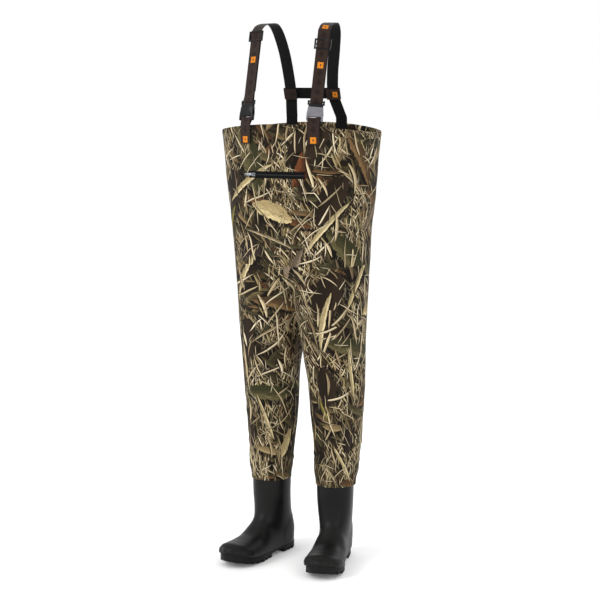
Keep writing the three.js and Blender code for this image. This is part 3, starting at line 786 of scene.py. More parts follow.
def cloth_uv(points, faces):
    """Metres round and up the cloth for every corner of four-sided faces, from drawing-frame points."""
    p = points[np.asarray(faces)]
    centre = p.mean(1)

    def unwrapped(turn):
        wraps = turn.max(1) - turn.min(1) > math.pi
        return np.where(wraps[:, None] & (turn < 0), turn + 2 * math.pi, turn)

    turn = unwrapped(np.arctan2(p[..., 0], -p[..., 1]))
    torso = np.interp(np.minimum(turn, math.pi), _turn, _arc)
    torso += np.maximum(turn - math.pi, 0) * BACK_RADIUS
    side = np.where(centre[:, 0] > 0, 1, -1)[:, None]
    x = np.interp(centre[:, 2], _heights, _leg_middle[:, 0])[:, None]
    y = np.interp(centre[:, 2], _heights, _leg_middle[:, 3])[:, None]
    turn = unwrapped(np.arctan2(p[..., 0] - side * x, -(p[..., 1] - y)))
    leg = side * LEG_MIDDLE + turn * LEG_TURN_RADIUS
    u = np.where(centre[:, 2:3] > HIP_SEAM, torso, leg)
    return np.stack([u, p[..., 2]], -1).reshape(-1, 2) * MM


# ---- neoprene body
ZIP_MIDDLE, ZIP_FLAT, ZIP_FADE = (-9, 1095), (84, 10), (14, 18)
# Soft folds: place, direction, half length, half width, height. Each appears on both legs.
FOLDS = (
    ((52, -128, 792), (0.9, 0.1, 0.42), 52, 11, 3.4),
    ((76, -130, 760), (1, 0.1, 0.16), 60, 12, 2.8),
    ((62, -118, 728), (1, 0.2, -0.12), 48, 12, 2.2),
    ((30, -138, 836), (0.72, 0, 0.7), 50, 12, 2.2),
    ((150, -70, 800), (0.5, -0.5, 0.6), 60, 14, 1.8),
    ((60, 118, 770), (0.9, 0, 0.4), 60, 13, 3.0),
    ((80, 116, 725), (1, 0, 0.1), 60, 13, 2.6),
    ((70, 108, 812), (0.8, 0, 0.6), 55, 13, 2.4),
    ((110, 98, 545), (1, 0, 0.12), 55, 11, 3.2),
    ((92, 96, 515), (1, 0, -0.14), 55, 11, 3.4),
    ((104, 92, 482), (1, 0, 0.08), 50, 11, 2.6),
    ((60, -66, 560), (0.8, -0.3, 0.35), 44, 14, 1.8),
    ((132, -58, 528), (0.8, 0.4, -0.3), 44, 14, 1.8),
    ((100, -68, 486), (1, 0, 0.1), 48, 15, 1.6),
    ((162, 10, 420), (0.1, 1, 0.3), 46, 14, 2.0),
    ((84, -52, 352), (1, -0.1, 0.22), 48, 10, 2.6),
    ((118, -50, 322), (1, 0.2, -0.2), 44, 9, 2.8),
    ((78, -48, 296), (1, -0.2, 0.12), 46, 8, 3.0),
    ((128, -36, 282), (0.9, 0.4, 0.06), 40, 7, 2.4),
    ((44, 6, 312), (0.1, 1, 0.2), 44, 9, 2.6),
    ((42, 14, 284), (0, 1, -0.1), 44, 8, 2.6),
    ((162, 10, 330), (0, 1, 0.16), 46, 9, 2.8),
    ((160, 16, 296), (0, 1, -0.12), 46, 8, 2.8),
    ((100, 78, 326), (1, 0, 0.1), 48, 10, 3.0),
    ((92, 76, 296), (1, 0, -0.14), 48, 9, 2.8),
    ((112, 74, 274), (1, 0, 0.05), 44, 7, 2.2),
)
# Long shallow drapes of the torso, not mirrored.
DRAPES = (
    ((-150, -90, 1010), (0.15, -0.1, 1), 120, 20, 2.2),
    ((-60, -150, 930), (0.5, 0, 0.85), 90, 20, 2.0),
    ((70, -148, 925), (-0.5, 0, 0.85), 90, 20, 2.0),
    ((165, -80, 1000), (-0.1, -0.1, 1), 130, 20, 2.4),
    ((10, -156, 890), (1, 0, 0.1), 70, 18, 1.8),
    ((-120, 78, 950), (0.2, 0, 1), 110, 22, 2.6),
    ((0, 114, 960), (0, 0, 1), 120, 26, 2.2),
    ((120, 78, 980), (-0.2, 0, 1), 110, 22, 2.6),
)


def fold(points, place, direction, reach, width, height):
    """A soft ridge with a valley either side of it."""
    d = np.array(direction, float)
    d /= np.linalg.norm(d)
    rel = points - np.array(place, float)
    along = rel @ d
    off2 = (rel**2).sum(1) - along**2
    r = off2 / width**2
    return height * np.exp(-((along / reach) ** 2)) * (1 - 0.9 * r) * np.exp(-r * 0.9)


def neoprene_body():
    points, faces = [], []

    def add(rings):
        base = len(points)
        around = len(rings[0])
        points.extend(np.concatenate(rings))
        faces.extend(tuple(base + k for k in f) for f in loft_faces(len(rings), around))

    levels = [762, 770, *np.arange(780, 1208, 9), RIM_SIDE]
    rings = [torso_ring(z, 150) for z in levels]
    rings.append(torso_ring(RIM_SIDE, 150, 0, 18))
    add(rings)
    for _, s in SIDES:
        add([leg_ring(z, 84, s) for z in [206, *np.arange(214, 838, 7), 838]])
    raw = make("neoprene_body", [p * MM for p in points], faces, ())
    remesh = raw.modifiers.new("union", "REMESH")
    remesh.mode = "VOXEL"
    remesh.voxel_size = 0.0042
    applied(raw)
    mesh = raw.data
    count = len(mesh.vertices)
    co = pull(mesh.vertices, "co", 3) * 1000
    edges = pull(mesh.edges, "vertices", 2, np.int32)
    faces = np.array([p.vertices[:] for p in mesh.polygons if len(p.vertices) == 4], np.int64)

    degree = np.zeros(count)
    np.add.at(degree, edges[:, 0], 1)
    np.add.at(degree, edges[:, 1], 1)

    def smoothed(p, share, times):
        for _ in range(times):
            total = np.zeros_like(p)
            np.add.at(total, edges[:, 0], p[edges[:, 1]])
            np.add.at(total, edges[:, 1], p[edges[:, 0]])
            p = p + (total / np.maximum(degree, 1)[:, None] - p) * share[:, None]
        return p

    join = np.exp(-(((co[:, 2] - 775) / 62) ** 2)) * np.exp(-((co[:, 0] / 130) ** 2))
    hip = np.exp(-(((co[:, 2] - 800) / 55) ** 2)) * 0.8
    co = smoothed(co, np.clip(0.12 + join + hip, 0, 0.7), 14)
    co = smoothed(co, np.full(count, 0.35), 3)

    # folds, kept off the rim, the cuffs, the zip and the tabs
    normals = np.zeros_like(co)
    a, b, c, d = (co[faces[:, k]] for k in range(4))
    n = np.cross(c - a, d - b)
    for k in range(4):
        np.add.at(normals, faces[:, k], n)
    normals /= np.maximum(np.linalg.norm(normals, axis=1), 1e-9)[:, None]
    height = np.zeros(count)
    for s in (1, -1):
        mine = co[:, 0] * s > -12
        for index, (place, direction, reach, width, rise) in enumerate(FOLDS):
            across = noise.noise(Vector((index * 3.7, s * 2.1, 0.5))) * 14
            up = noise.noise(Vector((index, s, 4.4))) * 10
            p = (s * (place[0] + across), place[1], place[2] + up)
            ridge = fold(co, p, (s * direction[0], *direction[1:]), reach, width, rise)
            height += np.where(mine, ridge, 0)
    for one in DRAPES:
        height += fold(co, *one)
    for size, rise, shift in ((0.011, 2.4, (0, 0, 0)), (0.032, 0.9, (7, 3, 1))):
        height += [noise.noise(Vector(p) * size + Vector(shift)) * rise for p in co]
    keep = (1 - smoothstep(co[:, 2], 1120, 1185)) * smoothstep(co[:, 2], 232, 262)
    front = co[:, 1] < 0
    off_zip = np.maximum(np.abs(co[:, [0, 2]] - ZIP_MIDDLE) - ZIP_FLAT, 0) / ZIP_FADE
    zip_zone = np.where(front, np.exp(-(off_zip**2).sum(1)), 0)
    keep *= 1 - zip_zone
    outer = np.where(co[:, 2] > HIP_SEAM, np.abs(co[:, 0]) > 150, np.abs(co[:, 0]) > 125)
    keep *= 1 - np.where(outer, 0.85 * np.exp(-((co[:, 1] / 16) ** 2)), 0)
    height = height * keep - 0.8 * zip_zone
    # a shallow groove along the side seams and the inside leg seams
    seam = np.exp(-((co[:, 1] / 2.6) ** 2)) * (np.abs(co[:, 0]) > 12) * smoothstep(co[:, 2], 262, 280)
    height -= 0.9 * seam
    co = co + normals * height[:, None]

    # open the top and the two cuffs
    centre = co[faces].mean(1)
    inside_rim = np.clip(centre[:, 0], -RIM_HALF_WIDTH, RIM_HALF_WIDTH)
    open_top = centre[:, 2] < rim_height(inside_rim)
    faces = faces[open_top & (centre[:, 2] > CUFF)]
    used = np.unique(faces)
    index = np.full(count, -1)
    index[used] = np.arange(len(used))
    faces, co = index[faces], co[used]
    sides = np.concatenate([faces[:, [0, 1]], faces[:, [1, 2]], faces[:, [2, 3]], faces[:, [3, 0]]])
    unique, times = np.unique(np.sort(sides, 1), axis=0, return_counts=True)
    edge = np.unique(unique[times == 1])
    top = edge[co[edge, 2] > 1000]
    foot = edge[co[edge, 2] < 400]
    co[top, 2] = rim_height(np.clip(co[top, 0], -RIM_HALF_WIDTH, RIM_HALF_WIDTH)) - 0.4
    co[foot, 2] = CUFF
    bpy.data.objects.remove(raw)

    made = make("neoprene_body", row(co), faces, (PRINT, LINING), cloth_uv(co, faces))
    wall = made.modifiers.new("wall", "SOLIDIFY")
    wall.thickness = NEOPRENE * MM
    wall.offset = -1
    wall.material_offset = 1
    wall.material_offset_rim = 0
    applied(made)
    # the print shows on the inside too, down to the facing below the rim
    polygons = made.data.polygons
    inside = pull(polygons, "material_index", 1, np.int32)
    inside[pull(polygons, "center", 3)[:, 2] > FACING * MM] = 0
    polygons.foreach_set("material_index", inside)
    return made


body = neoprene_body()
cloth_nodes = [f"{kind}_{side}" for kind in ("leg_front", "leg_back", "boot_band") for side, _ in SIDES]
belongs(body, "waders", "camo_neoprene", "torso_front", "torso_back", "crotch_gusset", *cloth_nodes)


# Outline of the folded strip: how far out of the cloth, and how far above the edge.
BINDING = (
    (0.2, -12), (1.0, -11.4), (1.2, -6), (1.1, -1), (0.6, 0.8), (-0.9, 1.5), (-3.1, 1.5), (-4.6, 0.8),
    (-5.1, -1), (-5.2, -6), (-5.0, -11.4), (-4.2, -12),
)


def rim_binding(under):
    """Bound top edge: a strip of the printed cloth folded over it, lying on the cloth as it is."""
    around = 180
    here = torso_ring(RIM_SIDE, around)
    here[:, 2] = rim_height(here[:, 0]) - 14
    middle = row([0, 0, RIM_SIDE])
    shift = np.zeros(around)
    mesh, probe = under.data, 0.03
    tree = BVHTree.FromPolygons([v.co for v in mesh.vertices], [p.vertices for p in mesh.polygons])
    for i, place in enumerate(row(here)):
        inward = Vector((middle[0] - place[0], middle[1] - place[1], 0)).normalized()
        start = Vector(place) - inward * probe
        found = tree.ray_cast(start, inward, 2 * probe)[0]
        if found is not None:
            shift[i] = ((found - start).length - probe) / MM
    shift = sum(np.roll(shift, k) for k in (-1, 0, 1)) / 3
    rings = []
    for out, rise in BINDING:
        r = torso_ring(RIM_SIDE, around, -out)
        r[:, :2] *= (1 - shift / np.linalg.norm(r[:, :2], axis=1))[:, None]
        r[:, 2] = rim_height(r[:, 0] * RIM_HALF_WIDTH / (RIM_HALF_WIDTH + out)) + rise
        rings.append(r)
    points = np.concatenate(rings)
    faces = [f[::-1] for f in loft_faces(len(rings), around, "joined")]
    made = make("rim_binding_tape", row(points), faces, (PRINT,), cloth_uv(points, faces))
    belongs(made, "waders", "camo_neoprene", "rim_binding")


rim_binding(body)


# ---- bands and straps
def ribbon(name, path, across, width, thickness, outside, inside, turned_over=False):
    """Webbing along drawing-frame points: a flat band with rounded selvages. Its outer face takes the
    first material, and its uv runs across and along it in metres."""
    path = np.array(path, float)
    count = len(path)
    tangent = np.gradient(path, axis=0)
    tangent /= np.linalg.norm(tangent, axis=1)[:, None]
    given = np.array([across(i / (count - 1)) if callable(across) else across for i in range(count)], float)
    u = given - (given * tangent).sum(1)[:, None] * tangent
    u /= np.linalg.norm(u, axis=1)[:, None]
    n = np.cross(tangent, u) if turned_over else np.cross(u, tangent)
    w, t = width / 2, thickness / 2
    top = [(-w + 0.5, t), (-w * 0.5, t), (0, t), (w * 0.5, t), (w - 0.5, t)]
    section = [*top, (w, 0), *((x, -y) for x, y in top[::-1]), (-w, 0)]
    along = lengths(path)
    points = np.concatenate([[p + a * uu + b * nn for a, b in section] for p, uu, nn in zip(path, u, n)])
    k = len(section)
    faces = loft_faces(count, k)
    outer = len(top) - 1
    indices = [0 if i < outer else 1 for _ in range(count - 1) for i in range(k)] + [1, 1]
    uvs = [(section[v % k][0] * MM, along[v // k] * MM) for f in faces for v in f]
    made = make(name, row(points), faces, (outside, inside), uvs, "strap", indices)
    face_out(made)
    sharpen(made, 50)
    return made


def curve_through(points, step=3.0):
    """A centripetal Catmull-Rom curve through points, at about equal steps."""
    p = np.array(points, float)
    p = np.vstack([2 * p[0] - p[1], p, 2 * p[-1] - p[-2]])
    out = []
    for i in range(1, len(p) - 2):
        p0, p1, p2, p3 = p[i - 1], p[i], p[i + 1], p[i + 2]
        t0 = 0.0
        t1 = t0 + np.linalg.norm(p1 - p0) ** 0.5
        t2 = t1 + np.linalg.norm(p2 - p1) ** 0.5
        t3 = t2 + np.linalg.norm(p3 - p2) ** 0.5
        steps = max(2, int(np.linalg.norm(p2 - p1) / step))
        for k in range(steps):
            t = t1 + (t2 - t1) * k / steps
            a1 = (t1 - t) / (t1 - t0) * p0 + (t - t0) / (t1 - t0) * p1
            a2 = (t2 - t) / (t2 - t1) * p1 + (t - t1) / (t2 - t1) * p2
            a3 = (t3 - t) / (t3 - t2) * p2 + (t - t2) / (t3 - t2) * p3
            b1 = (t2 - t) / (t2 - t0) * a1 + (t - t0) / (t2 - t0) * a2
            b2 = (t3 - t) / (t3 - t1) * a2 + (t - t1) / (t3 - t1) * a3
            out.append((t2 - t) / (t2 - t1) * b1 + (t - t1) / (t2 - t1) * b2)
    out.append(p[-2])
    return np.array(out)


RUN_FOOT = np.array([100, -136, 1285.0])
LEAN, YAW = math.radians(15.6), math.radians(15)
RUN_TOP, SPLIT_AT, RETURN_AT = 203, 46, -4.4
ADJUSTER_AT = {"left": 164, "right": 188}
WEB = 34
HINGE_X, HINGE_Z, HINGE_GAP = 76, 1241, 1.6
CROSS = np.array([64, 66, 1310.0])


def run_axes(s):
    """Across, along and outward directions of a strap's straight front run."""
    tilt = math.pi / 2 - LEAN
    y = np.array([0, math.cos(tilt), math.sin(tilt)])
    z = np.array([0, -math.sin(tilt), math.cos(tilt)])
    x = np.array([1.0, 0, 0])
    c, d = math.cos(YAW), math.sin(YAW) * s
    return c * x - d * z, y, d * x + c * z


def on_run(s, y, z=0.0):
    """A point of the run, y up it and z out from it."""
    _, ey, ez = run_axes(s)
    return RUN_FOOT * (s, 1, 1) + y * ey + z * ez


def strap_label(name, centre, across, along, out, body_name, size=17.0, thickness=0.6):
    """A small woven patch sewn on a strap, out from it by the given vector."""
    centre, along = np.array(centre, float) + np.array(out), np.array(along, float)
    path = [centre + along * t for t in np.linspace(-size / 2, size / 2, 7)]
    made = ribbon(name, path, across, size, thickness, LABEL, STRAP_OUT)
    for one in made.data.uv_layers["strap"].data:
        one.uv = (one.uv[0], one.uv[1] - size / 2 * MM)
    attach(made, body_name)
    return made


def webbing_piece(name, path, across, width=WEB, thickness=1.2, turned_over=True):
    made = ribbon(name, path, across, width, thickness, STRAP_OUT, STRAP_IN, turned_over)
    return made


# The back anchor inside the rim: its foot, its height and how far it stands off the cloth
ANCHOR_LOW, ANCHOR_HIGH, ANCHOR_OFF = 1172, 1233, 4.4
STRAIGHT = np.array([1.0, 0, 0])
PATCH = 17.0


def back_strap(side, s):
    """The back anchor, the bend where the strap leaves it, and the shoulder strap."""
    ex = run_axes(s)[0]

    def inner(z):
        return np.array([s * HINGE_X, face_y(HINGE_X, RIM_SIDE, NEOPRENE, True) - ANCHOR_OFF, z])

    ends = [face_y(HINGE_X + d, RIM_SIDE, 0, True) for d in (-1, 1)]
    yaw = s * math.atan2(ends[1] - ends[0], 2)
    anchor_across = np.array([math.cos(yaw), math.sin(yaw), 0])

    def anchor_turn(t):
        z = ANCHOR_LOW + (ANCHOR_HIGH - ANCHOR_LOW) * t
        share = (z - ANCHOR_LOW) / (HINGE_Z - HINGE_GAP - ANCHOR_LOW)
        w = float(smoothstep(share, 0.2, 1))
        return anchor_across * (1 - w) + STRAIGHT * w

    heights = np.linspace(ANCHOR_LOW, ANCHOR_HIGH, 22)
    anchor = webbing_piece(f"back_anchor_web_{side}", [inner(z) for z in heights], anchor_turn, WEB, 1.6)
    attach(anchor, "waders")
    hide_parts(f"back_anchor_{side}")

    foot = inner(HINGE_Z + HINGE_GAP)
    over = curve_through([
        (foot[0] - s * 0.6, foot[1] - 1.2, HINGE_Z + 6), (s * 71.2, 85.5, 1268), CROSS * (s, 1, 1),
        (s * 67, 54, 1366), (s * 76, 44, 1428), (s * 86, 25, 1480), (s * 90, 4, 1499),
        (s * 94, -28, 1501), (s * 98, -62, 1494), on_run(s, RUN_TOP),
    ])
    run = [on_run(s, y) for y in (*np.arange(RUN_TOP - 4, SPLIT_AT, -4), SPLIT_AT)]
    path = np.vstack([foot, over, run])
    cut = int(np.searchsorted(path[:40, 2], 1250))
    total = len(path) - 1

    def strap_across(t):
        w = float(smoothstep((cut + t * (total - cut)) / total, 0.5, 0.85))
        return STRAIGHT * (1 - w) + ex * w

    strap = webbing_piece(f"shoulder_webbing_{side}", path[cut:], strap_across, WEB, 1.4)
    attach(strap, "harness")
    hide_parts(f"shoulder_strap_{side}")

    bend_path = [inner(z) for z in np.linspace(1228.4, 1242, 9)] + list(path[1:cut + 2])
    bend = webbing_piece(f"back_strap_bend_{side}", bend_path, STRAIGHT, WEB - 0.1, 1.34)
    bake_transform(bend)


def front_run(side, s):
    """The strap's lower end round the buckle's bar, the returning layer and its end on the adjuster."""
    ex = run_axes(s)[0]

    def turned(*places):
        return [on_run(s, y, z) for y, z in places]

    lower = turned(*[(y, 0) for y in np.arange(SPLIT_AT - 0.3, 24, -3)])
    lower += turned((20, 0.3), (16, 1.2), (12, 2.1), (8, 2.5))
    ring = [(3.7 - 1.7 * math.sin(a), 2.7 * math.cos(a) - 0.2) for a in np.linspace(0, math.pi, 9)]
    lower += turned(*ring, (8, -2.9), (12, -2.9), (18, -2.7), (24, -2.4), (34, -2.4), (44, -2.4))
    end = webbing_piece(f"strap_lower_web_{side}", lower, ex)
    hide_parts(f"strap_lower_{side}")
    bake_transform(end)

    top = ADJUSTER_AT[side]
    back_path = turned(*[(y, RETURN_AT) for y in np.linspace(34, top - 22.4, 30)])
    back = webbing_piece(f"strap_return_web_{side}", back_path, ex)
    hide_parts(f"strap_return_{side}")
    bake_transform(back)
    loop = [(top + y, RETURN_AT) for y in (-22, -16, -10, -4.2, 0, 2.2)]
    loop += [(top + 3.2, RETURN_AT + 0.35), (top + 3.7, RETURN_AT + 1.0)]
    loop += [(top + 3.6, -2.9), (top + 3.4, -2.4)]
    tail = webbing_piece(f"strap_end_web_{side}", turned(*loop), ex)
    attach(tail, f"adjuster_{side}")
    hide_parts(f"strap_end_{side}")


def front_tab(side, s):
    """The tab round the female half's bar, sewn on the chest with a woven patch."""
    bx, by, bz = RUN_FOOT * (s, 1, 1) - np.array([0, math.sin(LEAN), math.cos(LEAN)]) * 44

    def face(z, off):
        return np.array([s * 100, face_y(100, z) - off, z])

    turns = np.linspace(0, math.pi, 11)
    wrap = [np.array([bx, by - 3.6 * math.cos(a), bz + 0.8 + 5.2 * math.sin(a)]) for a in turns]
    outer = curve_through([face(1178, 5.4), face(1200, 5.4), face(1226, 5.6), wrap[0]], 4)
    under = curve_through([
        wrap[-1], (bx, by + 2.6, bz - 4.4), (bx, by - 0.8, bz - 7.4), face(1228, 3.5), face(1200, 3.4),
        face(1184, 3.3),
    ], 4)
    across = np.array([math.cos(YAW), s * math.sin(YAW), 0])
    path = [*outer[:-1], *wrap, *under[1:]]
    tab = webbing_piece(f"front_tab_web_{side}", path, across, turned_over=False)
    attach(tab, "waders")
    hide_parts(f"front_tab_{side}")
    low_end, high_end = face(1181, 6.4), face(1198, 6.4)
    patch = strap_label(f"tab_patch_{side}", (low_end + high_end) / 2, across, (high_end - low_end) / PATCH,
                        (0, -0.3, 0), "waders")
    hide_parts(f"tab_label_{side}")


for side, s in SIDES:
    back_strap(side, s)
    front_run(side, s)
    front_tab(side, s)
    # woven patches on the run and near the top of the shoulder
    ex, ey, ez = run_axes(s)
    patch_at = on_run(s, 122 if side == "right" else 106, 0.82)
    strap_label(f"run_patch_{side}", patch_at, ex, ey, (0, 0, 0), "harness", thickness=0.3)
    if side == "left":
        low_end, high_end = on_run(s, RUN_TOP), np.array([s * 98, -62, 1494.0])
        along = (high_end - low_end) / np.linalg.norm(high_end - low_end)
        lift = np.cross(ex, along) * 1.6
        strap_label("shoulder_patch", (low_end + high_end) / 2, ex, along, lift, "harness")

# cross strap behind both back straps, its ends folded round them to the front
lean = math.atan2(54 - 88, 1366 - 1268)
up = np.array([0, math.sin(lean), math.cos(lean)])
out = np.array([0, math.cos(lean), -math.sin(lean)])


def cross_at(x, off):
    return np.array([x, CROSS[1], CROSS[2]]) + out * off


reach = WEB / 2 + 3.6
CROSS_TURN = ((3, 4.6), (1.4, 3.8), (0.6, 2.6), (0.1, 1.2))


def cross_end(s):
    """The fold round a back strap: in front of it first, then round its edge to behind it."""
    xs = [(2 - reach, -5), (8 - reach, -5), (0, -5), (reach - 8, -4.9)]
    xs += [(reach - x, -off) for x, off in CROSS_TURN] + [(reach, 0)]
    xs += [(reach - x, off) for x, off in CROSS_TURN[::-1]] + [(reach - 8, 4.75), (0, 4.8)]
    return [cross_at(s * (CROSS[0] + x), off) for x, off in xs]


cross = cross_end(1) + [cross_at(x, 4.8) for x in np.linspace(56, -56, 17)] + cross_end(-1)[::-1]
cross_web = webbing_piece("cross_webbing", cross, up, 32, 1.4)
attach(cross_web, "harness")
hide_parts("cross_strap")
strap_label("cross_patch", cross_at(CROSS[0] + 8, -6.0), STRAIGHT, up, (0, 0, 0), "harness", 16)


# ---- boots
# Sections from the shaft's top to the toe: instep Y and Z, heel or sole Y and Z, half width.
BOOT_ROWS = (
    (-45, 262, 59, 262, 50), (-46.5, 216, 60.5, 216, 51.5), (-46, 176, 60, 172, 50.5),
    (-46, 146, 66, 130, 48), (-50, 124, 76, 88, 45), (-58, 110, 84, 48, 43), (-69, 102, 70, 8, 43),
    (-81, 95.5, 0, 0, 45), (-99, 88, -62, 0, 49), (-123, 80.5, -108, 0, 52.5), (-152, 73, -150, 3, 53),
    (-178, 65, -179, 12, 46), (-194, 55, -197, 22, 33), (-203, 43, -204, 35, 14),
)
# Soft creases across the instep and round the ankle: Y, Z, slope, height
CREASES = (
    (-78, 104, 0.35, -0.9), (-92, 96, 0.3, -0.7), (-60, 122, 0.7, -0.8), (70, 124, 0.1, -0.9),
    (66, 140, 0.1, -0.7),
)
TOE_OUT, BOOT_APART = math.radians(11.3), 100
SOLE_TOP = 20.3


def spring(y):
    """How far the sole rises towards the toe."""
    return 20 * np.clip((np.asarray(y, float) + 100) / -108, 0, 1) ** 1.6


def boot_piece(name, points, faces, s):
    """A rubber piece, turned toe out and set under its leg."""
    x, y, z = points.T
    c, d = math.cos(TOE_OUT), s * math.sin(TOE_OUT)
    points = np.stack([x * c - y * d + s * BOOT_APART, x * d + y * c, z], 1)
    made = make(name, row(points), faces, (RUBBER,))
    face_out(made)
    return made


def boot_rings(around, steps):
    keys = [(float(i), *map(float, section)) for i, section in enumerate(BOOT_ROWS)]
    angle = angles(around)
    rings = []
    for key in np.linspace(0, len(keys) - 1, (len(keys) - 1) * steps + 1):
        iy, iz, hy, hz, w = at(keys, key)
        e = np.array([0, hy - iy, hz - iz])
        middle = np.array([0, (iy + hy) / 2, (iz + hz) / 2])
        along = power(np.sin(angle), 2 / SQUARENESS)[:, None] * e / 2
        across = w * power(np.cos(angle), 2 / SQUARENESS)
        rings.append(middle + along + across[:, None] * STRAIGHT)
    return rings


def boot_shell(side, s):
    around = 72
    rings = boot_rings(around, 5)
    last, tip = (len(rings) - 1) * around, len(rings) * around
    points = np.vstack([*rings, rings[-1].mean(0)])
    faces = loft_faces(len(rings), around, "open")
    faces += [(last + i, tip, last + (i + 1) % around) for i in range(around)]
    # moulded overlays: the step above the sole, a toe cap and a heel counter
    _, y, z = points.T
    sole = SOLE_TOP + spring(y)
    foxing = sole + 11 + 7 * smoothstep(y, 10, 60) + 6 * smoothstep(-y, 120, 190)
    rise = 1.3 * (1 - smoothstep(z, foxing - 1.2, foxing + 1.2))
    rise += 1.5 * smoothstep(-(y - 0.12 * (z - 60)), 143, 146.5) * (1 - smoothstep(-y, 180, 196))
    counter = 104 - 0.9 * np.maximum(52 - y, 0)
    rise += 1.6 * smoothstep(y, 8, 13) * (1 - smoothstep(z, counter - 1.5, counter + 1.5))
    rise += 3.0 * smoothstep(y, 20, 60) * (1 - smoothstep(z, 84, 122))
    for cy, cz, slope, height in CREASES:
        off = ((z - cz) - slope * (y - cy)) / 4.0
        rise += height * np.exp(-(off**2)) * np.exp(-(((y - cy) / 26) ** 2))
    rise += 0.35 * np.sin(z / 6.2) * smoothstep(z, 250, 256)
    away = points - np.stack([0 * y, np.clip(y, -170, 60), np.where(z > 120, z, 55)], 1)
    away /= np.maximum(np.linalg.norm(away, axis=1), 1e-6)[:, None]
    points = points + away * rise[:, None]
    # a low forefoot with a rounded toe
    above = points[:, 2] - sole
    lower = 0.24 * smoothstep(-y, 52, 104) * (1 - 0.75 * smoothstep(-y, 168, 198))
    toe = 4.5 * np.exp(-(((y + 178) / 17) ** 2)) * smoothstep(above, 14, 32)
    points[:, 2] = sole + above * (1 - lower * smoothstep(above, 4, 30)) + toe
    points[:, 2] = np.maximum(points[:, 2], SOLE_TOP + spring(points[:, 1]))
    made = boot_piece(f"boot_upper_{side}", points, faces, s)
    wall = made.modifiers.new("wall", "SOLIDIFY")
    wall.thickness = 3.0 * MM
    wall.offset = -1
    applied(made)
    sharpen(made, 50)
    belongs(made, "waders", "boot_rubber", f"boot_shell_{side}")


# Half the sole's outline from heel to toe, as Y and half width
SOLE_OUTLINE = (
    (88, 12), (82, 25), (64, 34.5), (30, 37), (-15, 36.5), (-58, 41), (-100, 49), (-138, 51.5), (-172, 45.5),
    (-193, 33), (-203, 20), (-208, 9),
)
# Foxing strip: how far out of the sole's outline, and how far above the sole
FOXING = (
    (-6, 0.3), (0.2, 0.3), (0.9, 1.6), (0.8, 6.5), (0.1, 8.2), (-0.4, 8.6), (-0.9, 9.6), (-1.6, 13.5),
    (-3.4, 15.2), (-8, 15.6),
)
FOXING_INSET = 0.6


def foxing_band(side, s):
    """The moulded strip that joins the upper to the sole, with a step along its top."""
    half = np.array(SOLE_OUTLINE, float)[:, ::-1]
    loop = np.vstack([half, (half * (-1, 1))[::-1]])
    for _ in range(3):
        after = np.roll(loop, -1, 0)
        cuts = [0.75 * loop + 0.25 * after, 0.25 * loop + 0.75 * after]
        loop = np.stack(cuts, 1).reshape(-1, 2)
    along = np.roll(loop, -1, 0) - np.roll(loop, 1, 0)
    normal = np.stack([along[:, 1], -along[:, 0]], 1)
    normal /= np.linalg.norm(normal, axis=1)[:, None]
    if ((loop + normal)[:, 0] ** 2).sum() < (loop[:, 0] ** 2).sum():
        normal = -normal
    rings = []
    for out, above in FOXING:
        where = loop + normal * (out - FOXING_INSET)
        taller = 1 + 0.25 * smoothstep(where[:, 1], 10, 40)
        rings.append(np.column_stack([where, SOLE_TOP + spring(where[:, 1]) + above * taller]))
    faces = loft_faces(len(rings), len(loop), "joined")
    made = boot_piece(f"foxing_band_{side}", np.concatenate(rings), faces, s)
    sharpen(made, 60)
    belongs(made, "waders", "boot_rubber")


for side, s in SIDES:
    boot_shell(side, s)
    foxing_band(side, s)


# ---- zip, pocket and seam tapes
def quads(ids):
    """The four-sided faces of a grid of point numbers."""
    return np.stack([ids[:-1, :-1], ids[:-1, 1:], ids[1:, 1:], ids[1:, :-1]], -1).reshape(-1, 4)


def patch_on_front(name, low, high, profile, material, slot_name, columns, rows_up, *stands_for):
    """A thin closed slab that follows the chest between two corners. profile(u, v) gives the depths of
    its two faces under the outer face of the cloth, for u across and v up it, both from 0 to 1."""
    grid = []
    for layer in (0, 1):
        for v in np.arange(rows_up + 1) / rows_up:
            for u in np.arange(columns + 1) / columns:
                x, z = low[0] + (high[0] - low[0]) * u, low[1] + (high[1] - low[1]) * v
                grid.append((x, face_y(x, z) + profile(u, v)[layer], z))
    grid = np.array(grid)
    ids = np.arange(len(grid)).reshape(2, rows_up + 1, columns + 1)
    faces = np.concatenate([
        quads(ids[0]), quads(ids[1].T), quads(ids[:, 0].T), quads(ids[:, -1]),
        quads(ids[:, :, 0]), quads(ids[:, :, -1].T),
    ])
    made = make(name, row(grid), faces, (material,), grid[faces][..., [0, 2]] * MM)
    face_out(made)
    sharpen(made, 40)
    belongs(made, "waders", slot_name, *stands_for)


def tape_depths(u, v):
    return -0.4, 0.6


def coil_depths(u, v):
    return -0.3 - 0.15 * math.sin(math.pi * v), 0.4


def welt_depths(u, v):
    """A folded black lip beside the zip, thickest along its free edge."""
    return -0.5 - 1.1 * math.sin(math.pi * min(v * 1.1, 1)) ** 0.6, 0.9


def bag_depths(u, v):
    """The pocket bag lies flat at its sewn edges and fills out a little towards its foot."""
    edge = math.sin(math.pi * u) ** 0.4 * math.sin(math.pi * v) ** 0.4
    sag = 2.2 * math.sin(math.pi * u) ** 0.6 * math.exp(-(((v - 0.25) / 0.3) ** 2))
    wrinkle = 0.35 * math.sin(u * 19 + 2 * v) * edge
    return NEOPRENE + 1.0, NEOPRENE + 2.0 + 2.2 * edge + sag + wrinkle


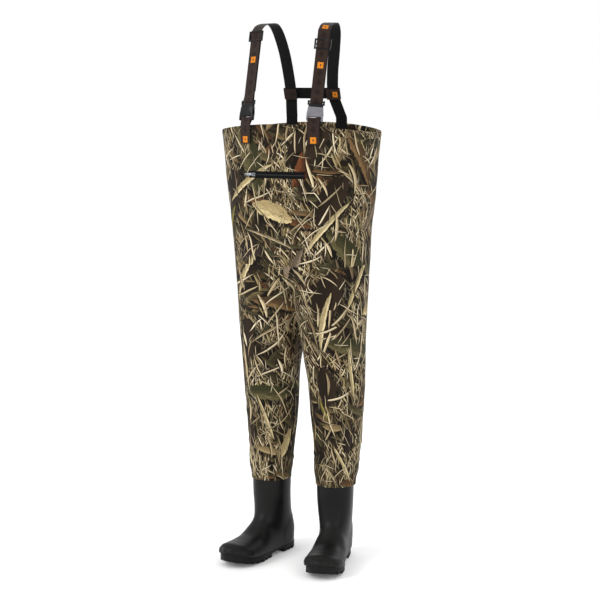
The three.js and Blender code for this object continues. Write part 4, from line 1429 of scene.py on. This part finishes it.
# Strips of the zip: name, how much longer than the zip at each end, lower and upper edge from its
# middle, depths, material, columns, rows and the CAD node.
ZIP_X0, ZIP_X1, ZIP_Z = -90, 72, 1095
for name, longer, low, high, depths, material, columns, rows_up, *node in (
    ("zip_tape_lower", -0.5, -5.2, -1.3, tape_depths, ZIP_TAPE, 80, 3, "zipper_tape_lower"),
    ("zip_tape_upper", -0.5, 1.3, 5.2, tape_depths, ZIP_TAPE, 80, 3, "zipper_tape_upper"),
    ("zip_coil_teeth", -2, -1.7, 1.7, coil_depths, ZIP_COIL, 160, 6, "zipper_coil"),
    ("zip_welt_upper", 3, 5.3, 9.5, welt_depths, ZIP_TAPE, 80, 6),
    ("zip_welt_lower", 3, -9.0, -5.3, welt_depths, ZIP_TAPE, 80, 6),
):
    corners = (ZIP_X0 - longer, ZIP_Z + low), (ZIP_X1 + longer, ZIP_Z + high)
    patch_on_front(name, *corners, depths, material, "zipper", columns, rows_up, *node)
patch_on_front("pocket_bag_cloth", (ZIP_X0 - 8, 930), (ZIP_X1 + 8, 1112), bag_depths, LINING, "lining",
               60, 48, "pocket_bag")

TAPE_INSET = NEOPRENE + 0.85
for side, s in SIDES:
    path = []
    for z in np.arange(1192, 270, -6):
        torso = at(TORSO, max(z, 762))[0] - TAPE_INSET if z > 790 else 0
        x, w, d, y = at(LEG, z)
        leg_x = x + (w - TAPE_INSET) * math.sqrt(max(1 - (y / (d - NEOPRENE)) ** 2, 0))
        path.append((s * (torso if z > HIP_SEAM else max(torso, leg_x)), 0, z))
    path = np.array(path)
    for _ in range(6):
        path[1:-1, 0] = (path[:-2, 0] + 2 * path[1:-1, 0] + path[2:, 0]) / 4
    tape = ribbon(f"seam_tape_{side}", path, np.array([0, 1.0, 0]), 20, 0.8, LINING, LINING)
    tape.data.uv_layers["strap"].name = "cloth"
    belongs(tape, "waders", "lining", f"side_seam_tape_{side}")


# ---- CAD parts that stay
def finish_cad(name, material, bevel):
    """Gives a CAD node its material and rounded edges."""
    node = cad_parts[name]
    node.data.materials.clear()
    node.data.materials.append(material)
    weld = node.modifiers.new("weld", "WELD")
    weld.merge_threshold = 0.00002
    edge = node.modifiers.new("edges", "BEVEL")
    edge.width = bevel * MM
    edge.segments = 2
    edge.limit_method = "ANGLE"
    edge.angle_limit = math.radians(35)
    edge.use_clamp_overlap = True
    edge.harden_normals = False
    node.data.polygons.foreach_set("use_smooth", np.full(len(node.data.polygons), True))


for side, _ in SIDES:
    for name, material, bevel in (
        # the left female half is black nylon with its reflection of the light painted in as grey
        ("buckle_female", BUCKLE_PAINTED_REFLECTION if side == "left" else BUCKLE, 0.7),
        ("buckle_male", BUCKLE, 0.5),
        ("buckle_prong_outer", BUCKLE, 0.4),
        ("buckle_prong_inner", BUCKLE, 0.4),
        ("adjuster", BUCKLE, 0.6),
        ("boot_outsole", SOLE, 0.9),
        ("boot_insole", FELT, 0.5),
    ):
        finish_cad(f"{name}_{side}", material, bevel)
finish_cad("zipper_slider", METAL, 0.3)
finish_cad("zipper_pull", METAL, 0.4)

# ---- stage
FLOOR_HALF, FLOOR_LEVEL = 40, -0.0005
corners = [(x * FLOOR_HALF, y * FLOOR_HALF, FLOOR_LEVEL) for x, y in ((-1, -1), (1, -1), (1, 1), (-1, 1))]
g = Graph("pale_floor", roughness=0.9, specular=0.1)
g.shader.inputs["Emission Color"].default_value = (1, 1, 1, 1)
g.shader.inputs["Emission Strength"].default_value = 0.06
g.colour(g.mix(g.noise(g.place(), 3.0, 2.0), "fafafa", "fdfdfd"))
floor = make("floor", corners, [(0, 1, 2, 3)], (g.material,))
floor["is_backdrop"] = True

low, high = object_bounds()
